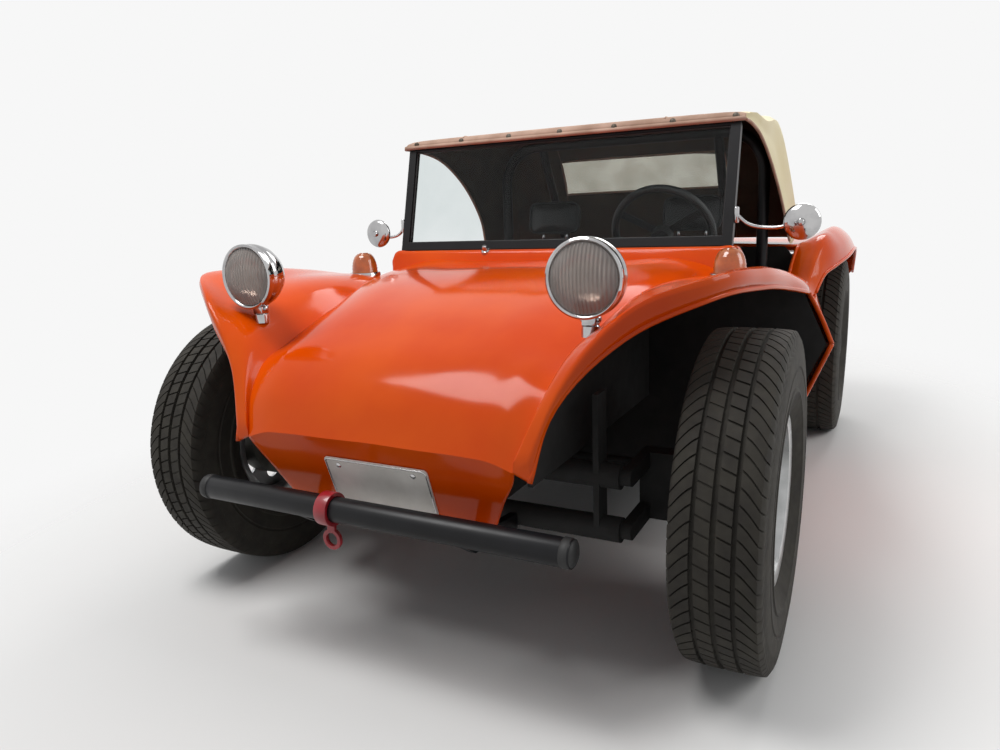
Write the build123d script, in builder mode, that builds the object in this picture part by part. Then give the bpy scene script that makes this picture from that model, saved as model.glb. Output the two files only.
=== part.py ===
"""Open dune buggy: a moulded body on a short rear-engined floor pan, with a cloth top.

Millimetres. +Z is up, the buggy faces -Y, and its left side is +X.
The origin is on the ground, under the middle of the overall box.
Heights of body and axles are named over the body's datum, RIDE above the ground.
"""

import os
from math import asin, cos, radians, sin

from build123d import *

os.makedirs("parts", exist_ok=True)

# Overall layout
WHEELBASE = 2032
FRONT_OVERHANG = 505  # front axle to the front of the bumper
REAR_OVERHANG = 620  # rear axle to the back of the rear bumper
FRONT_TRACK = 1505
REAR_TRACK = 1430
FRONT_Y = FRONT_OVERHANG - (FRONT_OVERHANG + WHEELBASE + REAR_OVERHANG) / 2
REAR_Y = FRONT_Y + WHEELBASE

# Wheels
FRONT_TYRE_R = 395
FRONT_TYRE_W = 195
REAR_TYRE_R = 400
REAR_TYRE_W = 265
FRONT_AXLE_Z = 372
RIDE = FRONT_TYRE_R - FRONT_AXLE_Z
REAR_AXLE_Z = REAR_TYRE_R - RIDE
RIM_R = 190  # bead seat
RIM_WALL = 7
RIM_FLANGE = 14  # flange height over the bead seat
DISC_T = 9
DISC_OUTSET = 20  # wheel disc, outboard of the wheel's middle
SLOT_COUNT = 8
SLOT_R = 24
SLOT_CIRCLE_R = 132
DRUM_R = 128
DRUM_W = 62
HUB_CAP_R = 42
HUB_CAP_H = 34
SPINDLE_R = 16
SPINDLE_END = 6  # spindle's tip short of the wheel disc
RUNNING = 0.05  # radial play of a shaft in its bore
GAP = 0.3  # clearance between pieces that only sit close
SEAM = 3  # open seam between moulded panels

# Steering
STEER_DEG = 28
KING_X = 640
KING_R = 11
KNUCKLE_H = 90
KNUCKLE_R = 26
STEER_ARM = 110  # king pin to the track rod's eye
COLUMN_X = 300
COLUMN_R = 21
WHEEL_HUB_Y = 905  # steering wheel's centre, behind the front axle
WHEEL_HUB_Z = 950
COLUMN_RAKE = 27  # degrees above the horizon
COLUMN_LEN = 1060
STEERING_R = 172
STEERING_GRIP_R = 14

# Body skin
SKIN = 10

# Front fender, left half: y behind the front axle, then x and z of
# the hood edge C, inner shoulder W, outer crown K and lip L.
FENDER_STATIONS = (
    # y,   Cx,  Cz,  Wx,  Wz,  Kx,  Kz,  Lx,  Lz
    (-452, 366, 528, 370, 558, 400, 558, 406, 512),
    (-405, 392, 622, 410, 664, 448, 690, 426, 632),
    (-340, 408, 686, 444, 752, 592, 856, 568, 796),
    (-230, 418, 724, 468, 792, 722, 895, 704, 860),
    (0, 440, 792, 496, 850, 776, 890, 768, 860),
    (250, 505, 836, 544, 858, 796, 868, 800, 832),
    (450, 560, 838, 596, 848, 812, 834, 826, 800),
)
CROWN_BOW = 0.04  # bow of a fender's top between shoulder and crown, a part of its width

# Hood, left half: y behind the front axle, middle height, shoulder S and edge E.
HOOD_STATIONS = (
    # y,  mid z, Sx,  Sz,  Ex,  Ez
    (-448, 556, 250, 553, 362, 536),
    (-395, 656, 262, 650, 392, 628),
    (-270, 752, 285, 744, 412, 708),
    (-20, 838, 335, 828, 436, 786),
    (250, 878, 410, 868, 501, 836),
    (450, 884, 470, 876, 556, 838),
    (640, 888, 500, 880, 622, 836),
)
NOSE_HALF = 372  # half width of the nose's lower edge
APRON_HALF = 285  # half width of the apron's bottom
NOSE_Y = -448
NOSE_Z = 545
APRON_Y = -388
APRON_Z = 362
SILL_Y = (556, 640)  # flat sill under the windscreen, behind the front axle
SILL_HALF = 606
COWL_Z = 918
COWL_FOOT_Z = 836
DASH_Y = 646
DASH_T = 10
DASH_HALF = 576
DASH_Z = (690, 832)

# Tub side, left: y, then x and z of coaming T, shoulder K, ridge R and sill B.
# Rows up to the dip are placed from the front axle, the rest from the rear one.
TUB_FRONT = (
    # y, Tx,  Tz,  Kx,  Kz,  Rx,  Rz,  Bx,  Bz
    (450, 564, 838, 812, 832, 891, 661, 712, 246),
    (640, 640, 812, 798, 806, 879, 627, 704, 246),
    (860, 658, 716, 774, 708, 862, 586, 698, 246),
)
TUB_REAR = (
    # y ahead of the rear axle is negative
    (-902, 660, 716, 756, 708, 842, 536, 692, 246),
    (-650, 660, 726, 738, 724, 826, 492, 690, 246),
    (-560, 662, 792, 735, 726, 816, 476, 690, 246),
    (-470, 664, 848, 732, 728, 806, 460, 690, 246),
)
TUB_BOW = 0.03  # bow of the side between shoulder and ridge, a part of its width
TUB_SKIN = 12

# Rear fender, left: y behind the rear axle, inner edge T, crown K and lip L.
REAR_STATIONS = (
    # y,   Tx,  Tz,  Kx,  Kz,  Lx,  Lz
    (-650, 662, 741, 742, 742, 768, 694),
    (-560, 668, 806, 752, 826, 790, 756),
    (-470, 676, 862, 764, 892, 820, 780),
    (-300, 676, 866, 774, 914, 854, 804),
    (0, 672, 868, 776, 922, 868, 822),
    (230, 664, 846, 768, 900, 862, 794),
    (400, 650, 786, 748, 832, 848, 682),
)
DECK_ROW = 2  # first row of the deck between the fenders
RIM_ROLL = 0.12  # bow of a fender's outer face, a part of its width

# Floor
PAN_Z = 236
PAN_T = 10
PAN_HALF = 690
HEAD_FRONT_Y = -118  # frame head's front end, against the beam's clamp
TUNNEL_W = 180
TUNNEL_H = 100
WALL_T = 12

# Rear deck and engine bay
DECK_T = 12
DECK_CROWN = 14
BAY_HALF = 500
BAY_OUTLINE = ((-470, 440), (380, 440), (380, 780), (230, 838), (0, 861), (-470, 854))
TAIL_FOOT_Z = 560
WELL_X = 372
WELL_OUTLINE = (
    (-396, 480),
    (450, 480),
    (450, 790),
    (-20, 762),
    (-270, 690),
    (-396, 596),
)

# Windscreen
SCREEN_W = 1190
SCREEN_H = 396  # along the rake
SCREEN_RAKE = 15
SCREEN_BAR = 30
SCREEN_DEPTH = 28
SCREEN_Y = 596  # foot of the frame's middle plane, behind the front axle
GLASS_T = 6
SCREEN_CORNER_R = 28

# Cloth top
TOP_T = 6
TOP_HALF = 600  # at the roof
TOP_SPREAD = 64  # wider at the foot
TOP_FRONT_Y = 673.6
TOP_FRONT_Z = 1318
TOP_HEM_Z = 1284
TOP_BOW = 10
TOP_PEAK_Y = 1440
TOP_PEAK_Z = 1362
TOP_BACK = (1640, 1196)  # a point the back passes
TOP_TAIL_Y = 1764
TOP_TAIL_Z = 900
TOP_FOOT_Z = 892
TOP_SIDE_Y = 1372
TOP_CUT = (1120, 1180)  # a point on the side opening's edge
WINDOW_W = 800
WINDOW_H = 170
WINDOW_R = 40
WINDOW_REACH = 60
WINDOW_PLANE = Plane(
    origin=(0, FRONT_Y + TOP_BACK[0], TOP_BACK[1] - 20), x_dir=(1, 0, 0), z_dir=(0, 0.85, 0.5)
)

# Roll bar
BAR_R = 22
BAR_HALF = 560
BAR_Y = 1400
BAR_TOP_Z = 1320
BAR_BEND_R = 160
STAY_X = 380
STAY_R = 18
STAY_FOOT_Y = -392
STAY_FOOT_Z = 894

# Seats and controls, y behind the front axle
SEAT_X = 300
SEAT_HALF = 205
SEAT_EDGE_R = 24
SEAT_OUTLINE = (
    (820, 330),
    (820, 470),
    (1216, 440),
    (1300, 930),
    (1366, 930),
    (1300, 330),
)
HEADREST_OUTLINE = ((1302, 900), (1326, 1086), (1376, 1086), (1360, 900))
HEADREST_HALF = 130
RAIL_X = 150
RAIL_Y = 1060
RAIL_W = 40
RAIL_LEN = 420
COLUMN_TOP = 62  # column's upper end below the wheel's face
SHAFT_R = 11
SHAFT_DEPTH = 150
STEER_BOX = (90, 150, 66)
STEER_HUB_R = 36
STEER_HUB_H = 46
SPOKE_W = 26
SPOKE_T = 6
LEVER_Y = 900
LEVER_H = 300
PEDAL_X = (220, 300, 380)
PEDAL_Y = 560

# Suspension and drive
BEAM_R = 30
BEAM_Y = -160
BEAM_RISE = 66  # each beam tube above or below the front axle
BEAM_HALF = 500
TOWER_X = 446
TOWER_H = 330
ARM_W = 26
ARM_H = 40
POST_X = 596
POST_W = 50
STEER_ARM_Z = FRONT_AXLE_Z + 26
STEER_ARM_T = 14
ROD_Z = FRONT_AXLE_Z + 8
ROD_R = 12
TORSION_R = 46
TORSION_Y = -330
TORSION_Z = 330
TORSION_HALF = 470
AXLE_TUBE_R = 38
FORK_X = 190
FORK_Z = 304
FLANGE_Y = 148
GEARBOX_Y = -278
BELL_R = 165
BELL_Y = 165

# Lamps, mirrors and front fittings
LAMP_X = 468
LAMP_Y = -305
LAMP_Z = 908
LAMP_R = 84
LENS_R = 74
LAMP_DEPTH = 96
LAMP_STEM_Y = 40  # stem behind the lamp's rim
LAMP_STEM_R = 16
LAMP_FOOT_Z = 797.1
LENS_BULGE = 22
TURN_X = 622
TURN_Y = 392
TURN_Z = 845.4
TURN_R = 44
TURN_H = 72
TURN_FOOT = 24
TAIL_X = 742
TAIL_Z = 722
TAIL_R = 46
TAIL_H = 40
MIRROR_REACH = (190, 115)  # left and right, outside the windscreen's sides
MIRROR_Y = 600
MIRROR_Z = 985
MIRROR_R = 52
MIRROR_T = 16
MIRROR_ROD_R = 6
MIRROR_FOOT = 88  # up the windscreen post
BUMPER_R = 30
BUMPER_HALF = 505
BUMPER_Y = -475
BUMPER_Z = 388
BUMPER_ARM_X = 230
BUMPER_ARM = (
    (BUMPER_Y, BUMPER_Z - 28),
    (BUMPER_Y, BUMPER_Z),
    (-400, 346),
    (BEAM_Y - BEAM_R, 318),
    (BEAM_Y - BEAM_R, 280),
    (-400, 306),
)
TOW_X = -104
TOW_BAND = 34
TOW_RING_Z = 312
TOW_RING_R = 26
TOW_BORE_R = 16
TOW_T = 10
PLATE_W = 290
PLATE_H = 132
PLATE_T = 3
PLATE_MID = -114  # down the apron from the nose

# Engine, y behind the rear axle
CASE_W = 300
CASE_L = 330
CASE_H = 300
CASE_Z = 206
CYL_Y = (260, 412)
CYL_R = 56
FIN_R = 72
FIN_COUNT = 7
FIN_T = 6
FIN_PITCH = 14
FIN_X = 160
HEAD_X = 300
HEAD_W = 80
GEN_Y = (310, 470)
GEN_Z = 640
GEN_R = 48
GEN_PULLEY_R = 58
CRANK_PULLEY_R = 84
PULLEY_Y = 500
SHROUD_Y = 190
SHROUD_T = 120
SHROUD_HALF = 330
SHROUD_DIP_X = 150
SHROUD_Z = (590, 690, 770)
FAN_R = 190
CARB_X = 120
CARB_Y = 400
CLEANER_R = 72
CLEANER_H = 70
MUFFLER_Y = 550
MUFFLER_Z = 226
MUFFLER_R = 52
MUFFLER_HALF = 220
PIPE_X = 310
PIPE_Z = 340
PIPE_R = 20
PIPE_BEND_R = 32
TIP_X = 150
TIP_R = 18
TIP_LEN = 66
REAR_BAR_R = 20
REAR_BAR_Z = 520


C = Align.CENTER
MIN = Align.MIN
MAX = Align.MAX


def save(part, name):
    """Label a finished piece and write it."""
    placed = part.moved(Location((0, 0, RIDE)))
    placed.label = name
    export_step(placed, f"parts/{name}.step")


def front(y):
    """A length behind the front axle, in the part's frame."""
    return FRONT_Y + y


def rear(y):
    """A length behind the rear axle, in the part's frame."""
    return REAR_Y + y


def across(y):
    """The upright plane across the buggy at y, x to the left and z up."""
    return Plane.XZ.offset(-y)


def bulge(a, b, part):
    """Middle of an outward bow from a to b, its rise a part of the chord."""
    run = b[0] - a[0]
    drop = a[1] - b[1]
    return ((a[0] + b[0]) / 2 + part * drop, (a[1] + b[1]) / 2 + part * run)


def inset(points, depth):
    """The inner line of a skin whose outer line runs from the middle outwards."""
    sides = []
    for a, b in zip(points, points[1:]):
        run, rise = b[0] - a[0], b[1] - a[1]
        length = (run**2 + rise**2) ** 0.5
        sides.append((rise / length, -run / length))
    inner = []
    for i, point in enumerate(points):
        before = sides[max(i - 1, 0)]
        after = sides[min(i, len(sides) - 1)]
        share = depth / (1 + before[0] * after[0] + before[1] * after[1])
        inner.append(
            (point[0] + share * (before[0] + after[0]), point[1] + share * (before[1] + after[1]))
        )
    return inner


def skin(outer, depth, bows):
    """Lines of a skin section: outer points, a thickness, and each side's bow."""
    inner = inset(outer, depth)
    for line in (outer, inner):
        for a, b, bow in zip(line, line[1:], bows):
            if bow:
                ThreePointArc(a, bulge(a, b, bow), b)
            else:
                Line(a, b)
    Line(outer[0], inner[0])
    Line(outer[-1], inner[-1])


def cap_middle(radius, sag):
    """Radius and height of the halfway point of a round cap."""
    ball = (radius**2 + sag**2) / (2 * sag)
    half = asin(min(1, radius / ball)) / 2
    return ball * sin(half), ball * cos(half) - ball + sag


def middle(a, b, lift=0):
    """Point halfway from a to b, lifted."""
    return ((a[0] + b[0]) / 2, (a[1] + b[1]) / 2 + lift)


# Hood: crowned skin, nose apron and the flat sill under the windscreen
APRON_RUN = APRON_Y - NOSE_Y
APRON_DROP = NOSE_Z - APRON_Z
APRON_LEN = (APRON_RUN**2 + APRON_DROP**2) ** 0.5
APRON_PLANE = Plane(
    origin=(0, front(NOSE_Y), NOSE_Z),
    x_dir=(1, 0, 0),
    z_dir=(0, -APRON_DROP, -APRON_RUN),
)
with BuildPart() as hood:
    for y, mid_z, sx, sz, ex, ez in HOOD_STATIONS:
        with BuildSketch(across(front(y))):
            with BuildLine():
                ThreePointArc((-sx, sz), (0, mid_z), (sx, sz))
                ThreePointArc((sx, sz), middle((sx, sz), (ex, ez), 6), (ex, ez))
                Line((ex, ez), (ex, ez - SKIN))
                ThreePointArc(
                    (ex, ez - SKIN), middle((sx, sz), (ex, ez), 6 - SKIN), (sx, sz - SKIN)
                )
                ThreePointArc((sx, sz - SKIN), (0, mid_z - SKIN), (-sx, sz - SKIN))
                ThreePointArc(
                    (-sx, sz - SKIN), middle((-sx, sz), (-ex, ez), 6 - SKIN), (-ex, ez - SKIN)
                )
                Line((-ex, ez - SKIN), (-ex, ez))
                ThreePointArc((-ex, ez), middle((-sx, sz), (-ex, ez), 6), (-sx, sz))
            make_face()
    loft()
    with BuildSketch(APRON_PLANE):
        with BuildLine():
            Polyline(
                (-NOSE_HALF, 4),
                (NOSE_HALF, 4),
                (APRON_HALF, -APRON_LEN),
                (-APRON_HALF, -APRON_LEN),
                close=True,
            )
        make_face()
    extrude(amount=-SKIN)
    with BuildSketch(Plane.XY.offset(COWL_FOOT_Z + SKIN)):
        with Locations((0, front((SILL_Y[0] + SILL_Y[1]) / 2))):
            Rectangle(2 * SILL_HALF, SILL_Y[1] - SILL_Y[0])
    extrude(amount=COWL_Z - COWL_FOOT_Z - SKIN)
save(hood.part, "hood")

# Front fenders
with BuildPart() as front_fenders:
    for y, cx, cz, wx, wz, kx, kz, lx, lz in FENDER_STATIONS:
        with BuildSketch(across(front(y))):
            with BuildLine():
                skin([(cx + SEAM, cz), (wx, wz), (kx, kz), (lx, lz)], SKIN, (0, CROWN_BOW, RIM_ROLL))
            make_face()
    loft()
    mirror(about=Plane.YZ)
save(front_fenders.part, "front_fenders")

# Tub sides
TUB_ROWS = [(front(row[0]), row) for row in TUB_FRONT]
TUB_ROWS += [(rear(row[0]), row) for row in TUB_REAR]
with BuildPart() as tub_sides:
    for y, (_, tx, tz, kx, kz, rx, rz, bx, bz) in TUB_ROWS:
        with BuildSketch(across(y)):
            with BuildLine():
                skin([(tx, tz), (kx, kz), (rx, rz), (bx, bz)], TUB_SKIN, (0, TUB_BOW, 0))
            make_face()
    loft()
    mirror(about=Plane.YZ)
save(tub_sides.part, "tub_sides")

# Rear fenders, each closed behind its wheel by a tail panel
with BuildPart() as rear_fenders:
    for y, tx, tz, kx, kz, lx, lz in REAR_STATIONS:
        with BuildSketch(across(rear(y))):
            with BuildLine():
                skin([(tx, tz), (kx, kz), (lx, lz)], SKIN, (CROWN_BOW, RIM_ROLL))
            make_face()
    loft()
    tail_y, tx, tz, kx, kz, lx, lz = REAR_STATIONS[-1]
    with BuildSketch(across(rear(tail_y))):
        with BuildLine():
            Polyline(
                (BAY_HALF + WALL_T + GAP, tz - DECK_T - 2),
                (tx + GAP, tz - DECK_T - 2),
                (tx + GAP, tz - SKIN / 2),
                (kx - SKIN / 2, kz - SKIN / 2),
                (lx - SKIN, lz),
                (lx - 2.5 * SKIN, lz - 20),
                (BAY_HALF + WALL_T + GAP, TAIL_FOOT_Z),
                close=True,
            )
        make_face()
    extrude(amount=SKIN)
    mirror(about=Plane.YZ)
save(rear_fenders.part, "rear_fenders")

# Rear deck between the fenders
with BuildPart() as rear_deck:
    for y, tx, tz, kx, kz, lx, lz in REAR_STATIONS[DECK_ROW:]:
        dx = tx - SEAM
        with BuildSketch(across(rear(y))):
            with BuildLine():
                ThreePointArc((-dx, tz), (0, tz + DECK_CROWN), (dx, tz))
                Line((dx, tz), (dx, tz - DECK_T))
                ThreePointArc((dx, tz - DECK_T), (0, tz + DECK_CROWN - DECK_T), (-dx, tz - DECK_T))
                Line((-dx, tz - DECK_T), (-dx, tz))
            make_face()
    loft()
save(rear_deck.part, "rear_deck")

# Bulkheads: one ahead of the feet, one behind the seats
COLUMN_DIR = (0, cos(radians(COLUMN_RAKE)), sin(radians(COLUMN_RAKE)))
COLUMN_PLANE = Plane(
    origin=(COLUMN_X, front(WHEEL_HUB_Y), WHEEL_HUB_Z),
    x_dir=(1, 0, 0),
    z_dir=COLUMN_DIR,
)
with BuildPart() as bulkheads:
    _, tx, tz, kx, kz, rx, rz, bx, bz = TUB_FRONT[0]
    with BuildSketch(across(front(TUB_FRONT[0][0] + WALL_T))):
        with BuildLine():
            Polyline(
                (0, PAN_Z + PAN_T),
                (bx - TUB_SKIN - 2, PAN_Z + PAN_T),
                (rx - TUB_SKIN - 3, rz),
                (kx - TUB_SKIN / 2, kz - TUB_SKIN - 2),
                (tx - 40, COWL_FOOT_Z - SKIN - 12),
                (HOOD_STATIONS[-2][2], HOOD_STATIONS[-2][3] - SKIN - 4),
                (0, HOOD_STATIONS[-2][1] - SKIN - 4),
                close=True,
            )
        make_face()
        mirror(about=Plane.YZ)
    extrude(amount=WALL_T)
    _, tx, tz, kx, kz, rx, rz, bx, bz = TUB_REAR[-1]
    with BuildSketch(across(rear(TUB_REAR[-1][0]))):
        with BuildLine():
            Polyline(
                (0, PAN_Z + PAN_T),
                (bx - TUB_SKIN - 2, PAN_Z + PAN_T),
                (rx - TUB_SKIN - 3, rz),
                (kx - TUB_SKIN - 2, kz),
                (tx - TUB_SKIN - 2, tz - TUB_SKIN - 2),
                (tx - 3 * TUB_SKIN, REAR_STATIONS[DECK_ROW][2]),
                (0, REAR_STATIONS[DECK_ROW][2]),
                close=True,
            )
        make_face()
        mirror(about=Plane.YZ)
    extrude(amount=WALL_T)
    with BuildSketch(COLUMN_PLANE):
        Circle(COLUMN_R + GAP)
    extrude(amount=-COLUMN_LEN, mode=Mode.SUBTRACT)
    with BuildSketch(across(rear(TUB_REAR[-1][0]))):
        with Locations((0, PAN_Z + PAN_T + TUNNEL_H / 2)):
            Rectangle(TUNNEL_W + 2 * GAP, TUNNEL_H + 2 * GAP)
    extrude(amount=2 * WALL_T, mode=Mode.SUBTRACT)
    with BuildSketch(across(front(TUB_FRONT[0][0] + WALL_T))):
        with Locations((0, PAN_Z + PAN_T + TUNNEL_H / 2)):
            Rectangle(TUNNEL_W + 2 * GAP, TUNNEL_H + 2 * GAP)
    extrude(amount=2 * WALL_T, mode=Mode.SUBTRACT)
save(bulkheads.part, "bulkheads")

# Inner walls beside the front wheels and beside the engine
with BuildPart() as inner_walls:
    with BuildSketch(Plane.YZ.offset(WELL_X)):
        with BuildLine():
            Polyline(*[(front(y), z) for y, z in WELL_OUTLINE], close=True)
        make_face()
    extrude(amount=WALL_T)
    with BuildSketch(Plane.YZ.offset(BAY_HALF)):
        with BuildLine():
            Polyline(*[(rear(y), z) for y, z in BAY_OUTLINE], close=True)
        make_face()
    extrude(amount=WALL_T)
    mirror(about=Plane.YZ)
save(inner_walls.part, "inner_walls")

# Floor pan with its tunnel and the frame head that carries the front beam
with BuildPart() as floor_pan:
    with BuildSketch(Plane.XY.offset(PAN_Z)):
        with Locations((0, (front(TUB_FRONT[0][0]) + rear(TUB_REAR[-1][0])) / 2)):
            Rectangle(2 * PAN_HALF, rear(TUB_REAR[-1][0]) - front(TUB_FRONT[0][0]))
    extrude(amount=PAN_T)
    with BuildSketch(across(front(HEAD_FRONT_Y))):
        with Locations((0, PAN_Z + PAN_T + TUNNEL_H / 2)):
            Rectangle(TUNNEL_W, TUNNEL_H)
            Rectangle(TUNNEL_W - 2 * PAN_T, TUNNEL_H - 2 * PAN_T, mode=Mode.SUBTRACT)
    extrude(amount=-(rear(TORSION_Y - TORSION_R) - front(HEAD_FRONT_Y)))
save(floor_pan.part, "floor_pan")

# Dash panel under the screen
with BuildPart() as dash_panel:
    with BuildSketch(across(front(DASH_Y + DASH_T))):
        with BuildLine():
            Polyline(
                (-DASH_HALF, DASH_Z[1]),
                (DASH_HALF, DASH_Z[1]),
                (DASH_HALF, DASH_Z[0] + 60),
                (DASH_HALF - 60, DASH_Z[0]),
                (-DASH_HALF + 60, DASH_Z[0]),
                (-DASH_HALF, DASH_Z[0] + 60),
                close=True,
            )
        make_face()
    extrude(amount=DASH_T)
    with BuildSketch(Plane.XY.offset(DASH_Z[1])):
        with Locations((0, front(DASH_Y + DASH_T / 2 - 30))):
            Rectangle(2 * DASH_HALF, DASH_T + 60)
    extrude(amount=-DASH_T)
    with BuildSketch(COLUMN_PLANE):
        Circle(COLUMN_R + GAP)
    extrude(amount=-COLUMN_LEN, mode=Mode.SUBTRACT)
save(dash_panel.part, "dash_panel")

# Windscreen frame and glass
SCREEN_PLANE = Plane(
    origin=(0, front(SCREEN_Y), COWL_Z),
    x_dir=(1, 0, 0),
    z_dir=(0, -cos(radians(SCREEN_RAKE)), sin(radians(SCREEN_RAKE))),
)
with BuildPart() as screen_frame:
    with BuildSketch(SCREEN_PLANE):
        with Locations((0, SCREEN_H / 2)):
            RectangleRounded(SCREEN_W, SCREEN_H, SCREEN_CORNER_R)
            Rectangle(SCREEN_W - 2 * SCREEN_BAR, SCREEN_H - 2 * SCREEN_BAR, mode=Mode.SUBTRACT)
    extrude(amount=SCREEN_DEPTH / 2, both=True)
    with BuildSketch(SCREEN_PLANE):
        with Locations((0, 10)):
            Rectangle(SCREEN_W, 20)
    extrude(amount=SCREEN_DEPTH / 2, both=True)
    with BuildSketch(Plane.XY.offset(COWL_Z)):
        with Locations((0, front(SCREEN_Y))):
            Rectangle(2 * SCREEN_W, 200)
    extrude(amount=-100, mode=Mode.SUBTRACT)
save(screen_frame.part, "screen_frame")

with BuildPart() as screen_glass:
    with BuildSketch(SCREEN_PLANE):
        with Locations((0, SCREEN_H / 2)):
            Rectangle(SCREEN_W - 2 * SCREEN_BAR, SCREEN_H - 2 * SCREEN_BAR)
    extrude(amount=GLASS_T / 2, both=True)
save(screen_glass.part, "screen_glass")

# Cloth top: roof, back and quarter sides in one skin, open at the front and below
def top_outline(shrink, foot_z):
    """Sketch lines of the top's side view, drawn in by a shrink."""
    a = (front(TOP_FRONT_Y) + shrink, TOP_FRONT_Z - shrink)
    b = (front(TOP_PEAK_Y), TOP_PEAK_Z - shrink)
    c = (front(TOP_TAIL_Y) - shrink, TOP_TAIL_Z)
    back = (front(TOP_BACK[0]) - 0.7 * shrink, TOP_BACK[1] - 0.7 * shrink)
    ThreePointArc(a, middle(a, b, TOP_BOW), b)
    ThreePointArc(b, back, c)
    Polyline(c, (c[0], foot_z), (a[0], foot_z), a)


def top_block(shrink):
    """The space under the cloth, its sides leaning out to the foot."""
    foot_z = TOP_FOOT_Z - (shrink and TOP_T)
    with BuildPart() as block:
        with BuildSketch(Plane.YZ):
            with BuildLine():
                top_outline(shrink, foot_z)
            make_face()
        extrude(amount=TOP_HALF + TOP_SPREAD + TOP_T, both=True)
        with BuildSketch(across(front(TOP_FRONT_Y) - TOP_T)):
            with BuildLine():
                roof = TOP_HALF - shrink
                foot = TOP_HALF + TOP_SPREAD - shrink
                Polyline(
                    (-roof, TOP_PEAK_Z),
                    (roof, TOP_PEAK_Z),
                    (foot, foot_z),
                    (-foot, foot_z),
                    close=True,
                )
            make_face()
        extrude(amount=-(TOP_TAIL_Y - TOP_FRONT_Y + 2 * TOP_T), mode=Mode.INTERSECT)
    return block.part


with BuildPart() as soft_top:
    add(top_block(0))
    add(top_block(TOP_T), mode=Mode.SUBTRACT)
    with BuildSketch(Plane.YZ):
        with BuildLine():
            cut_front = (front(TOP_FRONT_Y) - TOP_T, TOP_HEM_Z)
            cut_foot = (front(TOP_SIDE_Y), TOP_FOOT_Z - TOP_T)
            ThreePointArc(cut_front, (front(TOP_CUT[0]), TOP_CUT[1]), cut_foot)
            Polyline(cut_foot, (cut_front[0], cut_foot[1]), cut_front)
        make_face()
    extrude(amount=TOP_HALF + TOP_SPREAD + TOP_T, both=True, mode=Mode.SUBTRACT)
    with BuildSketch(WINDOW_PLANE):
        RectangleRounded(WINDOW_W, WINDOW_H, WINDOW_R)
    extrude(amount=WINDOW_REACH, both=True, mode=Mode.SUBTRACT)
save(soft_top.part, "soft_top")

# Clear rear window, a patch of the same skin inside the top's cut-out
with BuildPart() as top_window:
    with BuildSketch(Plane.YZ):
        with BuildLine():
            top_outline(0, TOP_FOOT_Z)
        make_face()
        with BuildLine():
            top_outline(TOP_T, TOP_FOOT_Z - TOP_T)
        make_face(mode=Mode.SUBTRACT)
    extrude(amount=WINDOW_W, both=True)
    with BuildSketch(WINDOW_PLANE):
        RectangleRounded(WINDOW_W - GAP, WINDOW_H - GAP, WINDOW_R)
    extrude(amount=WINDOW_REACH, both=True, mode=Mode.INTERSECT)
save(top_window.part, "top_window")

# Roll bar: a hoop on the floor pan with two stays to the deck
with BuildPart() as roll_bar:
    with BuildLine() as hoop:
        FilletPolyline(
            (-BAR_HALF, front(BAR_Y), PAN_Z + PAN_T),
            (-BAR_HALF, front(BAR_Y), BAR_TOP_Z),
            (BAR_HALF, front(BAR_Y), BAR_TOP_Z),
            (BAR_HALF, front(BAR_Y), PAN_Z + PAN_T),
            radius=BAR_BEND_R,
        )
    with BuildSketch(Plane.XY.offset(PAN_Z + PAN_T)):
        with Locations((-BAR_HALF, front(BAR_Y))):
            Circle(BAR_R)
    sweep(path=hoop.line)
    for side in (1, -1):
        top = Vector(side * STAY_X, front(BAR_Y), BAR_TOP_Z)
        foot = Vector(side * STAY_X, rear(STAY_FOOT_Y), STAY_FOOT_Z)
        with BuildSketch(Plane(origin=top, z_dir=foot - top)):
            Circle(STAY_R)
        extrude(amount=(foot - top).length)
save(roll_bar.part, "roll_bar")

# Seats, on rails that stand on the floor pan
for name, side in (("left", 1), ("right", -1)):
    with BuildPart() as seat:
        with BuildSketch(Plane.YZ.offset(side * SEAT_X)):
            with BuildLine():
                Polyline(*[(front(y), z) for y, z in SEAT_OUTLINE], close=True)
            make_face()
        extrude(amount=SEAT_HALF, both=True)
        fillet(seat.edges().filter_by(Axis.X), SEAT_EDGE_R)
        with BuildSketch(Plane.YZ.offset(side * SEAT_X)):
            with BuildLine():
                Polyline(*[(front(y), z) for y, z in HEADREST_OUTLINE], close=True)
            make_face()
        extrude(amount=HEADREST_HALF, both=True)
    save(seat.part, f"seat_{name}")

with BuildPart() as seat_rails:
    for side in (1, -1):
        for offset in (-RAIL_X, RAIL_X):
            with Locations((side * SEAT_X + offset, front(RAIL_Y), PAN_Z + PAN_T)):
                Box(RAIL_W, RAIL_LEN, SEAT_OUTLINE[0][1] - PAN_Z - PAN_T, align=(C, C, MIN))
save(seat_rails.part, "seat_rails")

# Steering column with its box, and the wheel that turns in it
with BuildPart() as steering_column:
    with BuildSketch(COLUMN_PLANE.offset(-COLUMN_TOP)):
        Circle(COLUMN_R)
    extrude(amount=-(COLUMN_LEN - COLUMN_TOP))
    box_y = front(BEAM_Y)
    with Locations((COLUMN_X, box_y, FRONT_AXLE_Z + BEAM_RISE + BEAM_R)):
        Box(STEER_BOX[0], STEER_BOX[1], STEER_BOX[2], align=(C, MIN, MIN))
    with BuildSketch(COLUMN_PLANE.offset(-COLUMN_TOP)):
        Circle(SHAFT_R + RUNNING)
    extrude(amount=-SHAFT_DEPTH - 5, mode=Mode.SUBTRACT)
save(steering_column.part, "steering_column")

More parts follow.
